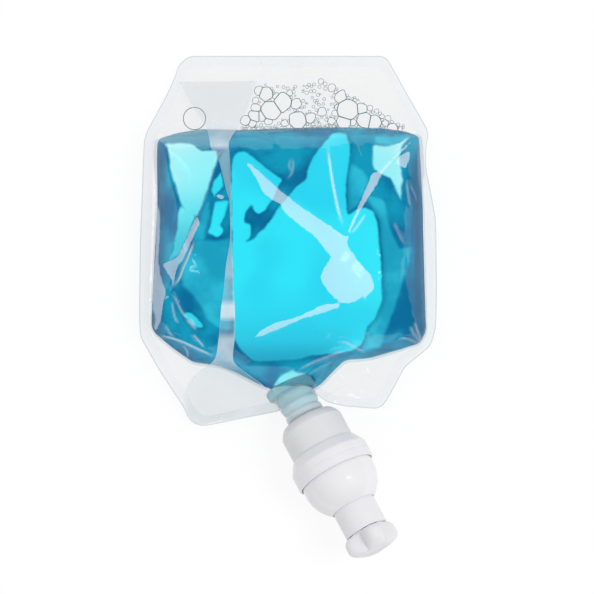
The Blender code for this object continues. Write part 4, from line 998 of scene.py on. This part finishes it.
def tube_round(line, radius):
    """Rings of points round a closed line."""
    along = np.roll(line, -1, 0) - np.roll(line, 1, 0)
    along /= np.maximum(np.linalg.norm(along, axis=1), TINY)[:, None]
    beside = np.cross(along, [0.0, 0.0, 1.0])
    beside /= np.maximum(np.linalg.norm(beside, axis=1), TINY)[:, None]
    return tube_points(line, beside, np.cross(beside, along), radius, BUBBLE_SIDES)


# Pump
def lathe(name, section, material, body, node, cut):
    """A turned piece from its closed section of (radius, height) points, with rounded corners."""
    outline = rounded(section, cut, 4)
    rings = np.concatenate([ellipse_ring(radius, radius, z) for radius, z in outline])
    faces = tube_faces(len(outline), ROUND_SIDES, closed=True)
    piece = make_piece(name, from_pump(rings), faces, material, body, smooth_angle=50.0)
    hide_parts(node)


def build_spout(material):
    """Boat-shaped weld base and the neck with its three beads."""
    rings = list(BOAT_RINGS)
    for start in BEAD_STARTS:
        stop = min(start + BEAD_LENGTH, LAST_BEAD_END_Z)
        for share in np.linspace(0.0, 1.0, BEAD_STEPS):
            swell = math.sin(math.pi * share) ** 0.4 if 0.0 < share < 1.0 else 0.0
            radius = mix(NECK_RADIUS, BEAD_RADIUS, swell)
            rings.append((radius, radius, mix(start, stop, share)))
    rings.append((NECK_RADIUS, NECK_RADIUS, NECK_END_Z))
    rings.append((SPOUT_BORE, SPOUT_BORE, NECK_END_Z))
    rings.append((SPOUT_BORE, SPOUT_BORE, BOAT_RINGS[0][2]))
    points = from_pump(np.concatenate([ellipse_ring(*ring) for ring in rings]))
    faces = tube_faces(len(rings), ROUND_SIDES, closed=True)
    spout = make_piece("spout_moulding", points, faces, material, "pack", smooth_angle=60.0)
    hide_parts("spout_fitment")


def dome_arc(radius, start, stop, steps):
    """Points along an arc of the dome's section."""
    turns = np.linspace(start, stop, steps)
    return [(radius * math.cos(turn), DOME_CENTRE_Z + radius * math.sin(turn)) for turn in turns]


def dome_section():
    """Outline of the dome cover's wall, with the guide that the stem slides in."""
    outer = dome_arc(DOME_RADIUS, 0.0, math.acos(GUIDE_BORE / DOME_RADIUS), 26)
    guide = [(GUIDE_BORE, GUIDE_FOOT_Z), (GUIDE_RADIUS, GUIDE_FOOT_Z)]
    inner = dome_arc(DOME_INNER_RADIUS, math.acos(GUIDE_RADIUS / DOME_INNER_RADIUS), 0.0, 14)
    return [(DOME_RADIUS, DOME_EDGE_Z)] + outer + guide + inner + [(DOME_INNER_RADIUS, DOME_EDGE_Z)]


def cap_points():
    """Rings of the winged cap's knob, from its foot to its rounded end."""
    turn = np.arange(CAP_SIDES) * 2.0 * math.pi / CAP_SIDES
    lobe = np.abs(np.cos(2.0 * turn)) ** 1.5
    angle = turn + math.radians(CAP_TURN)
    rings = []
    for share in np.linspace(0.0, 1.0, CAP_RINGS):
        near_foot = max(1.0 - share / CAP_CURVE_SHARE, 0.0)
        near_end = max((share - 1.0 + CAP_CURVE_SHARE) / CAP_CURVE_SHARE, 0.0)
        swell = math.sqrt(max(1.0 - near_foot**2.2, 0.0))
        fall = math.sqrt(max(1.0 - CAP_END_FALL * near_end**2.6, 0.0))
        reach = mix(CAP_FOOT_REACH, CAP_REACH, swell) * fall
        waist = min(mix(CAP_FOOT_WAIST, CAP_WAIST, swell), reach)
        radius = mix(waist, reach, lobe)
        z = np.full(CAP_SIDES, mix(CAP_FOOT_Z, CAP_END_Z, share))
        rings.append(np.stack([radius * np.sin(angle), -radius * np.cos(angle), z], axis=1))
    return np.concatenate(rings)


def build_cap(material):
    """The winged cap, a four-lobed knob, with its hollow plug."""
    knob = cap_points()
    section = rounded(PLUG_SECTION, 0.0003, 4)
    plug = np.concatenate([ellipse_ring(radius, radius, z) for radius, z in section])
    faces = tube_faces(CAP_RINGS, CAP_SIDES, capped=True)
    faces += shifted(tube_faces(len(section), ROUND_SIDES, closed=True), len(knob))
    points = from_pump(np.concatenate([knob, plug]))
    cap = make_piece("winged_knob", points, faces, material, "cap", smooth_angle=48.0)
    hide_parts("winged_cap")


def build_spring(material):
    """The return spring, a coil of wire round the pump's axis."""
    count = SPRING_TURNS * SPRING_STEPS
    angle = np.linspace(0.0, 2.0 * math.pi * SPRING_TURNS, count + 1)
    outward = np.stack([np.cos(angle), np.sin(angle), np.zeros(count + 1)], axis=1)
    line = SPRING_RADIUS * outward
    line[:, 2] = np.linspace(SPRING_FOOT_Z, SPRING_TOP_Z, count + 1)
    upward = np.tile([0.0, 0.0, 1.0], (count + 1, 1))
    points = from_pump(tube_points(line, outward, upward, WIRE_RADIUS, WIRE_SIDES))
    faces = tube_faces(count + 1, WIRE_SIDES, capped=True)
    spring = make_piece("spring_coil", points, faces, material, "pack")
    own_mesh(spring)
    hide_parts("return_spring")


# Materials
def new_material(name):
    """An empty node material."""
    material = bpy.data.materials.new(name)
    material.use_nodes = True
    material.node_tree.nodes.clear()
    return material


def add_node(tree, kind, inputs=None, **settings):
    """A node with its settings and its inputs, each a value or another node's output."""
    item = tree.nodes.new(kind)
    for name, value in settings.items():
        setattr(item, name, value)
    for name, value in (inputs or {}).items():
        if isinstance(value, bpy.types.NodeSocket):
            tree.links.new(value, item.inputs[name])
        else:
            item.inputs[name].default_value = value
    return item


def attribute(tree, name):
    """The number that a piece carries at each point."""
    return add_node(tree, "ShaderNodeAttribute", attribute_name=name).outputs["Fac"]


def map_range(tree, value, low, high, to_low=0.0, to_high=1.0, smooth=True):
    """A number carried from one range to another, and held at its ends."""
    kind = "SMOOTHSTEP" if smooth else "LINEAR"
    inputs = {"Value": value, "From Min": low, "From Max": high, "To Min": to_low, "To Max": to_high}
    return add_node(tree, "ShaderNodeMapRange", inputs, interpolation_type=kind).outputs["Result"]


def blend_colour(tree, factor, first, second, kind="MIX"):
    """A blend of two colours, each a value or another node's output."""
    item = add_node(tree, "ShaderNodeMix", data_type="RGBA", blend_type=kind)
    for socket, value in ((item.inputs[0], factor), (item.inputs[6], first), (item.inputs[7], second)):
        if isinstance(value, bpy.types.NodeSocket):
            tree.links.new(value, socket)
        else:
            socket.default_value = (*value, 1.0) if isinstance(value, tuple) and len(value) == 3 else value
    return item.outputs[2]


def reckon(tree, operation, first, second=0.0):
    """Arithmetic on two numbers."""
    return add_node(tree, "ShaderNodeMath", {0: first, 1: second}, operation=operation).outputs[0]


def noise(tree, scale, detail=3.0, stretch=(1.0, 1.0, 1.0)):
    """Procedural noise over the object's own coordinates."""
    place = add_node(tree, "ShaderNodeTexCoord").outputs["Object"]
    if stretch != (1.0, 1.0, 1.0):
        place = add_node(tree, "ShaderNodeMapping", {"Vector": place, "Scale": stretch}).outputs["Vector"]
    inputs = {"Vector": place, "Scale": scale, "Detail": detail}
    return add_node(tree, "ShaderNodeTexNoise", inputs).outputs[0]


def jitter(tree, scale, size):
    """Noise round zero, a size from end to end."""
    return reckon(tree, "MULTIPLY", reckon(tree, "SUBTRACT", noise(tree, scale), 0.5), size)


def bumps(tree, strength, distance, height):
    """The surface's direction, unsettled by a height."""
    inputs = {"Strength": strength, "Distance": distance, "Height": height}
    return add_node(tree, "ShaderNodeBump", inputs).outputs[0]


def blend_shader(tree, factor, first, second):
    """A blend of two shaders."""
    return add_node(tree, "ShaderNodeMixShader", {0: factor, 1: first, 2: second}).outputs[0]


def finish_material(material, shader, volume=None):
    """Connects the last shader."""
    output = add_node(material.node_tree, "ShaderNodeOutputMaterial", {"Surface": shader})
    if volume is not None:
        material.node_tree.links.new(volume, output.inputs["Volume"])
    return material


def liquid_material():
    """Clear blue soap whose front is painted with the light and shade that the folds of the film show."""
    material = new_material("blue_soap")
    tree = material.node_tree
    shift = reckon(tree, "ADD", jitter(tree, 90.0, 5.0), jitter(tree, 260.0, 2.0))
    down = attribute(tree, "down")
    # Painted shade: the soap's blue, darkened to deep blue in random patches where the folds show dark
    # surroundings
    patches = map_range(tree, noise(tree, 42.0, 4.0), 0.36, 0.62)
    deep = blend_colour(tree, patches, (0.0, 0.17, 0.35), (0.01, 0.37, 0.54))
    # Painted light: a middling blue in the middle zones
    middle = reckon(tree, "ADD", attribute(tree, "middle"), shift)
    soft = blend_colour(tree, patches, (0.03, 0.40, 0.56), (0.08, 0.58, 0.72))
    colour = blend_colour(tree, map_range(tree, middle, -2.5, 2.5), deep, soft)
    # Painted light: a steel-grey blue in the steel zones
    steel = map_range(tree, attribute(tree, "steel"), -1.0, 1.0)
    colour = blend_colour(tree, steel, colour, (0.22, 0.38, 0.50))
    # Painted shade: a dark band just outside the bright zones
    bright = reckon(tree, "ADD", attribute(tree, "bright"), shift)
    shadow = reckon(tree, "MULTIPLY", map_range(tree, bright, -7.0, -1.0), map_range(tree, bright, 0.6, -0.6))
    colour = blend_colour(tree, reckon(tree, "MULTIPLY", shadow, 0.35), colour, (0.0, 0.12, 0.24))
    # Painted light: the bright zones, with painted shade darkening them towards their foot and lighter
    # patches at random
    panel = blend_colour(tree, map_range(tree, down, 280.0, 348.0), (0.12, 0.90, 1.0), (0.08, 0.66, 0.83))
    panel = blend_colour(tree, map_range(tree, down, 336.0, 362.0), panel, (0.05, 0.44, 0.60))
    swell = blend_colour(tree, map_range(tree, noise(tree, 20.0, 1.0), 0.45, 0.62), panel, (0.09, 0.78, 0.94))
    colour = blend_colour(tree, map_range(tree, bright, -1.6, 1.6), colour, swell)
    # Painted light: the pale zones, near white at the top and teal further down
    pale = reckon(tree, "ADD", attribute(tree, "pale"), shift)
    faint = blend_colour(tree, map_range(tree, down, 175.0, 215.0), (0.92, 1.0, 1.0), (0.45, 0.88, 0.92))
    lower = reckon(tree, "MULTIPLY", map_range(tree, down, 208.0, 246.0), map_range(tree, down, 340.0, 300.0))
    faint = blend_colour(tree, lower, faint, (0.22, 0.68, 0.77))
    colour = blend_colour(tree, map_range(tree, pale, -1.0, 2.5), colour, faint)
    # Painted shade: darker blue along the left and right edges, below the top
    across = attribute(tree, "across")
    left = map_range(tree, across, 170.0, 156.0)
    sides = reckon(tree, "MAXIMUM", left, map_range(tree, across, 402.0, 420.0))
    sides = reckon(tree, "MULTIPLY", sides, map_range(tree, down, 142.0, 165.0))
    colour = blend_colour(tree, reckon(tree, "MULTIPLY", sides, 0.8), colour, (0.0, 0.13, 0.27))
    # Only the front carries the painted light and shade; the back keeps a pale tint of the soap
    tint_and_painted_light = blend_colour(tree, attribute(tree, "front"), (0.90, 0.98, 0.99), colour)
    base = blend_colour(tree, 1.0, tint_and_painted_light, tint_and_painted_light, "MULTIPLY")
    shader = add_node(tree, "ShaderNodeBsdfPrincipled", {
        "Base Color": base, "Roughness": 0.03, "IOR": LIQUID_IOR, "Transmission Weight": 1.0,
    })
    depth = {"Color": (0.006, 0.925, 0.985, 1.0), "Density": LIQUID_DENSITY}
    volume = add_node(tree, "ShaderNodeVolumeAbsorption", depth)
    return finish_material(material, shader.outputs[0], volume.outputs[0])


def film_material():
    """Clear glossy film with highlights painted white along its creases and reflections painted white in
    zones, a milky seal, and greying at its cut edge.
    """
    material = new_material("clear_film")
    tree = material.node_tree
    streaks = map_range(tree, noise(tree, 30.0, 4.0, (1.0, 0.35, 1.0)), 0.40, 0.75)
    margin = map_range(tree, attribute(tree, "outside"), 0.0, 3.0)
    tint = reckon(tree, "MULTIPLY", reckon(tree, "ADD", reckon(tree, "MULTIPLY", streaks, 0.5), 0.25), margin)
    clear = blend_colour(tree, tint, (0.995, 0.995, 0.995), (0.975, 0.980, 0.983))
    rim = map_range(tree, attribute(tree, "edge"), 0.9, 0.1)
    clear = blend_colour(tree, reckon(tree, "MULTIPLY", rim, 0.55), clear, (0.66, 0.72, 0.75))
    seal = reckon(tree, "MULTIPLY", map_range(tree, attribute(tree, "edge"), 6.5, 5.6), 0.10)
    through = add_node(tree, "ShaderNodeBsdfTransparent", {"Color": clear})
    skin = bumps(tree, 0.12, 0.0006, noise(tree, 120.0, 2.0))
    gloss = add_node(tree, "ShaderNodeBsdfGlossy", {"Roughness": 0.06, "Normal": skin})
    fresnel = add_node(tree, "ShaderNodeFresnel", {"IOR": PLASTIC_IOR, "Normal": skin})
    share = reckon(tree, "MINIMUM", fresnel.outputs[0], 0.30)
    glossy_film = blend_shader(tree, share, through.outputs[0], gloss.outputs[0])
    # Milky white: the seal's real milkiness, and the painted highlights and reflections
    frosted_and_painted_light = add_node(tree, "ShaderNodeBsdfDiffuse", {"Color": (0.84, 0.93, 1.0, 1.0)})
    # Painted reflections: zones of milky white with ragged edges
    jag = jitter(tree, 420.0, 3.0)
    painted_reflection = map_range(tree, reckon(tree, "ADD", attribute(tree, "painted_reflection"), jag), -0.4, 0.6, 0.0, 0.43)
    faint_reflection = map_range(tree, reckon(tree, "ADD", attribute(tree, "faint_reflection"), jag), -0.8, 0.8, 0.0, 0.42)
    # Painted crease highlights plus the milky seal, topped by the painted reflections
    white = reckon(tree, "ADD", attribute(tree, "white"), seal)
    white = reckon(tree, "MAXIMUM", white, reckon(tree, "MAXIMUM", painted_reflection, faint_reflection))
    return finish_material(material, blend_shader(tree, white, glossy_film, frosted_and_painted_light.outputs[0]))


def lap_material():
    """Lapped film: whitish in the V at the top, then clear with pale bands of painted highlight and darker
    bands, down to the loose flap.
    """
    material = new_material("lapped_film")
    tree = material.node_tree
    side = attribute(tree, "side")
    down = attribute(tree, "down")
    level = map_range(tree, down, LAP_TOP, LAP_FOOT, smooth=False)
    ramp = add_node(tree, "ShaderNodeValToRGB", {"Fac": level})
    stops = ramp.color_ramp.elements
    for place, value in LAP_FROST_AND_HIGHLIGHTS:
        stop = stops.new((place - LAP_TOP) / (LAP_FOOT - LAP_TOP))
        stop.color = (value, value, value, 1.0)
    stops.remove(stops[0])
    from_middle = reckon(tree, "ABSOLUTE", reckon(tree, "SUBTRACT", side, 0.5))
    edge = reckon(tree, "MULTIPLY", map_range(tree, from_middle, 0.455, 0.495), 0.40)
    streaks = map_range(tree, noise(tree, 60.0, 4.0, (1.0, 0.12, 1.0)), 0.30, 0.70, 0.75, 1.2)
    # Milky share: the V's real milkiness, and the highlights painted in pale bands lower down
    frost_and_highlight_share = reckon(tree, "MULTIPLY", ramp.outputs["Color"], streaks)
    white = reckon(tree, "MAXIMUM", frost_and_highlight_share, edge)
    through = add_node(tree, "ShaderNodeBsdfTransparent", {"Color": (0.93, 0.95, 0.96, 1.0)})
    gloss = add_node(tree, "ShaderNodeBsdfGlossy", {"Roughness": 0.10})
    fresnel = add_node(tree, "ShaderNodeFresnel", {"IOR": PLASTIC_IOR})
    clear = blend_shader(tree, fresnel.outputs[0], through.outputs[0], gloss.outputs[0])
    frosted_and_painted_light = add_node(tree, "ShaderNodeBsdfDiffuse", {"Color": (0.78, 0.89, 0.95, 1.0)})
    return finish_material(material, blend_shader(tree, white, clear, frosted_and_painted_light.outputs[0]))


def foam_material():
    """Wet bubble walls, painted dark teal as shade for the light that they bend away, lighter in random
    patches.
    """
    material = new_material("bubble_walls")
    tree = material.node_tree
    colour = blend_colour(tree, noise(tree, 200.0), (0.03, 0.13, 0.16), (0.22, 0.38, 0.42))
    shader = add_node(tree, "ShaderNodeBsdfPrincipled", {"Base Color": colour, "Roughness": 0.18})
    return finish_material(material, shader.outputs[0])


def plastic_material(name, colour, roughness, unevenness=0.03, grain=400.0, bump=0.05, subsurface=0.0):
    """Moulded plastic with slight unevenness of tone and skin."""
    material = new_material(name)
    tree = material.node_tree
    darker = tuple(value * (1.0 - unevenness * 2.0) for value in colour)
    tone = blend_colour(tree, noise(tree, 70.0, 5.0), darker, colour)
    skin = bumps(tree, bump, 0.0002, noise(tree, grain, 2.0))
    rough = map_range(tree, noise(tree, 150.0, 3.0), 0.3, 0.7, roughness * 0.85, roughness * 1.15)
    shader = add_node(tree, "ShaderNodeBsdfPrincipled", {
        "Base Color": tone, "Roughness": rough, "Normal": skin, "IOR": PLASTIC_IOR,
        "Subsurface Weight": subsurface, "Subsurface Radius": (0.004, 0.004, 0.004),
    })
    return finish_material(material, shader.outputs[0])


def spout_material():
    """Translucent moulding, bluish where the soap stands in it and white by the housing."""
    material = new_material("frosted_spout")
    tree = material.node_tree
    place = add_node(tree, "ShaderNodeTexCoord").outputs["Object"]
    axis = PUMP_PLACE.to_3x3() @ Vector((0.0, 0.0, 1.0))
    along = add_node(tree, "ShaderNodeVectorMath", {0: place, 1: tuple(axis)}, operation="DOT_PRODUCT")
    start = (PUMP_PLACE @ Vector((0.0, 0.0, -0.044))).dot(axis)
    end = (PUMP_PLACE @ Vector((0.0, 0.0, -0.025))).dot(axis)
    shift = reckon(tree, "ADD", along.outputs["Value"], jitter(tree, 160.0, 0.006))
    colour = blend_colour(tree, map_range(tree, shift, start, end), (0.30, 0.68, 0.72), (0.62, 0.70, 0.74))
    shader = add_node(tree, "ShaderNodeBsdfPrincipled", {
        "Base Color": colour, "Roughness": 0.22, "IOR": PLASTIC_IOR, "Subsurface Weight": 0.3,
        "Subsurface Radius": (0.003, 0.003, 0.003),
    })
    return finish_material(material, shader.outputs[0])


def steel_material():
    """Drawn spring wire."""
    material = new_material("spring_steel")
    tree = material.node_tree
    tone = blend_colour(tree, noise(tree, 500.0), (0.42, 0.42, 0.43), (0.62, 0.62, 0.63))
    rough = map_range(tree, noise(tree, 900.0), 0.3, 0.7, 0.22, 0.4)
    inputs = {"Base Color": tone, "Roughness": rough, "Metallic": 1.0}
    shader = add_node(tree, "ShaderNodeBsdfPrincipled", inputs)
    return finish_material(material, shader.outputs[0])


def paint_nodes(nodes, material):
    """Gives CAD nodes that stay a material of their own."""
    for name in nodes:
        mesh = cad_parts[name].data
        mesh.materials.clear()
        mesh.materials.append(material)


# Room
def add_lamp(name, place, target, size, power, mirrored=False):
    """A soft area lamp aimed at a point, shown in mirroring surfaces or not."""
    lamp = bpy.data.lights.new(name, "AREA")
    lamp.shape = "RECTANGLE"
    lamp.size = size[0]
    lamp.size_y = size[1]
    lamp.energy = power
    holder = bpy.data.objects.new(name, lamp)
    bpy.context.scene.collection.objects.link(holder)
    holder.location = place
    holder.rotation_euler = (Vector(target) - Vector(place)).to_track_quat("-Z", "Y").to_euler()
    holder.visible_glossy = mirrored


def build_world():
    """White surroundings that light the pack, greyer where it mirrors them."""
    world = bpy.data.worlds.new("surroundings")
    bpy.context.scene.world = world
    world.use_nodes = True
    tree = world.node_tree
    tree.nodes.clear()
    path = add_node(tree, "ShaderNodeLightPath")
    seen = reckon(tree, "MAXIMUM", path.outputs["Is Camera Ray"], path.outputs["Is Transmission Ray"])
    soft = add_node(tree, "ShaderNodeBackground", {"Color": (0.98, 0.98, 1.0, 1.0), "Strength": WORLD_LIGHT})
    faint = {"Color": (0.86, 0.93, 1.0, 1.0), "Strength": WORLD_MIRRORED}
    mirrored = add_node(tree, "ShaderNodeBackground", faint)
    white = add_node(tree, "ShaderNodeBackground", {"Color": (1.0, 1.0, 1.0, 1.0), "Strength": 1.0})
    both = blend_shader(tree, path.outputs["Is Glossy Ray"], soft.outputs[0], mirrored.outputs[0])
    add_node(tree, "ShaderNodeOutputWorld", {"Surface": blend_shader(tree, seen, both, white.outputs[0])})


def build_floor():
    """Pale floor that is nearly white to the camera and keeps a soft shadow."""
    material = new_material("pale_floor")
    tree = material.node_tree
    path = add_node(tree, "ShaderNodeLightPath")
    seen = reckon(tree, "MAXIMUM", path.outputs["Is Camera Ray"], path.outputs["Is Transmission Ray"])
    seen = reckon(tree, "MAXIMUM", seen, path.outputs["Is Glossy Ray"])
    lit = add_node(tree, "ShaderNodeBsdfDiffuse", {"Color": (0.80, 0.80, 0.80, 1.0)})
    glow = add_node(tree, "ShaderNodeEmission", {"Color": (1.0, 1.0, 1.0, 1.0), "Strength": FLOOR_GLOW})
    part = reckon(tree, "MULTIPLY", seen, FLOOR_GLOW_SHARE)
    share = reckon(tree, "MAXIMUM", part, path.outputs["Is Transmission Ray"])
    finish_material(material, blend_shader(tree, share, lit.outputs[0], glow.outputs[0]))
    corners = [(FLOOR_REACH * x, FLOOR_REACH * y, 0.0) for x, y in ((-1, -1), (1, -1), (1, 1), (-1, 1))]
    mesh = bpy.data.meshes.new("floor")
    mesh.from_pydata(corners, [], [(0, 1, 2, 3)])
    mesh.materials.append(material)
    floor = bpy.data.objects.new("floor", mesh)
    bpy.context.scene.collection.objects.link(floor)


def build_camera():
    """The photo's camera, almost straight above."""
    camera = bpy.data.cameras.new("camera")
    camera.lens = CAMERA_LENS * 1000.0
    camera.sensor_width = CAMERA_SENSOR * 1000.0
    holder = bpy.data.objects.new("camera", camera)
    bpy.context.scene.collection.objects.link(holder)
    holder.location = CAMERA_PLACE
    holder.rotation_euler = (math.pi / 2.0 - CAMERA_ELEVATION, 0.0, 0.0)
    bpy.context.scene.camera = holder


def build_lights():
    """A key softbox to the right, a fill to the left, one beyond the top, and a small one for glints."""
    aim = (0.0, 0.0, 0.03)
    add_lamp("key", (0.62, -0.16, 1.00), aim, (0.42, 0.50), 4.6)
    add_lamp("fill", (-0.95, -0.10, 0.75), aim, (0.55, 0.80), 1.0)
    add_lamp("back", (0.05, 1.10, 0.55), aim, (1.10, 0.30), 1.6)
    add_lamp("glint", (0.55, 0.02, 1.05), aim, (0.10, 0.22), 0.5, mirrored=True)
    add_lamp("side_glint", (-0.90, 0.10, 0.50), aim, (0.08, 0.50), 0.5, mirrored=True)


def build_turned_parts():
    """The housing, the ring, the dome and the nozzle's stem."""
    housing = plastic_material("frosted_housing", (0.78, 0.78, 0.785), 0.42, subsurface=0.2)
    ring = plastic_material("ring_plastic", (0.84, 0.83, 0.845), 0.26)
    dome = plastic_material("dome_plastic", (0.85, 0.84, 0.855), 0.16)
    stem = plastic_material("satin_stem", (0.82, 0.81, 0.825), 0.34)
    lathe("housing_shell", HOUSING_SECTION, housing, "pack", "pump_housing", 0.0005)
    lathe("ring_band", RING_SECTION, ring, "pack", "locking_ring", 0.0004)
    lathe("dome_shell", dome_section(), dome, "pack", "dome_cover", 0.0003)
    lathe("nozzle_stem", NOZZLE_SECTION, stem, "nozzle", "nozzle", 0.0003)


def paint_inner_parts():
    """Materials of the CAD nodes that show as they are."""
    natural = plastic_material("natural_plastic", (0.72, 0.73, 0.72), 0.40)
    screen = plastic_material("woven_screen", (0.62, 0.64, 0.64), 0.5, 0.1, 1500.0, 0.4)
    rubber = plastic_material("black_rubber", (0.05, 0.052, 0.055), 0.6, 0.1, 900.0, 0.2)
    ball = plastic_material("glassy_ball", (0.52, 0.58, 0.58), 0.1)
    paint_nodes(["ball_retainer", "liquid_piston", "air_piston", "mesh_holder"], natural)
    paint_nodes(["coarse_mesh", "fine_mesh"], screen)
    paint_nodes(["neck_o_ring", "housing_gasket", "air_valve"], rubber)
    paint_nodes(["inlet_ball", "outlet_ball"], ball)


def main():
    """Builds every piece, then the room."""
    film = film_material()
    build_liquid(liquid_material())
    build_film(film)
    build_sleeve(film)
    build_lap_seam(lap_material())
    build_foam(foam_material())
    build_spout(spout_material())
    build_turned_parts()
    build_cap(plastic_material("satin_cap", (0.82, 0.81, 0.825), 0.36))
    build_spring(steel_material())
    paint_inner_parts()
    build_world()
    build_floor()
    build_camera()
    build_lights()
    bpy.context.scene.view_settings.view_transform = "Standard"


main()
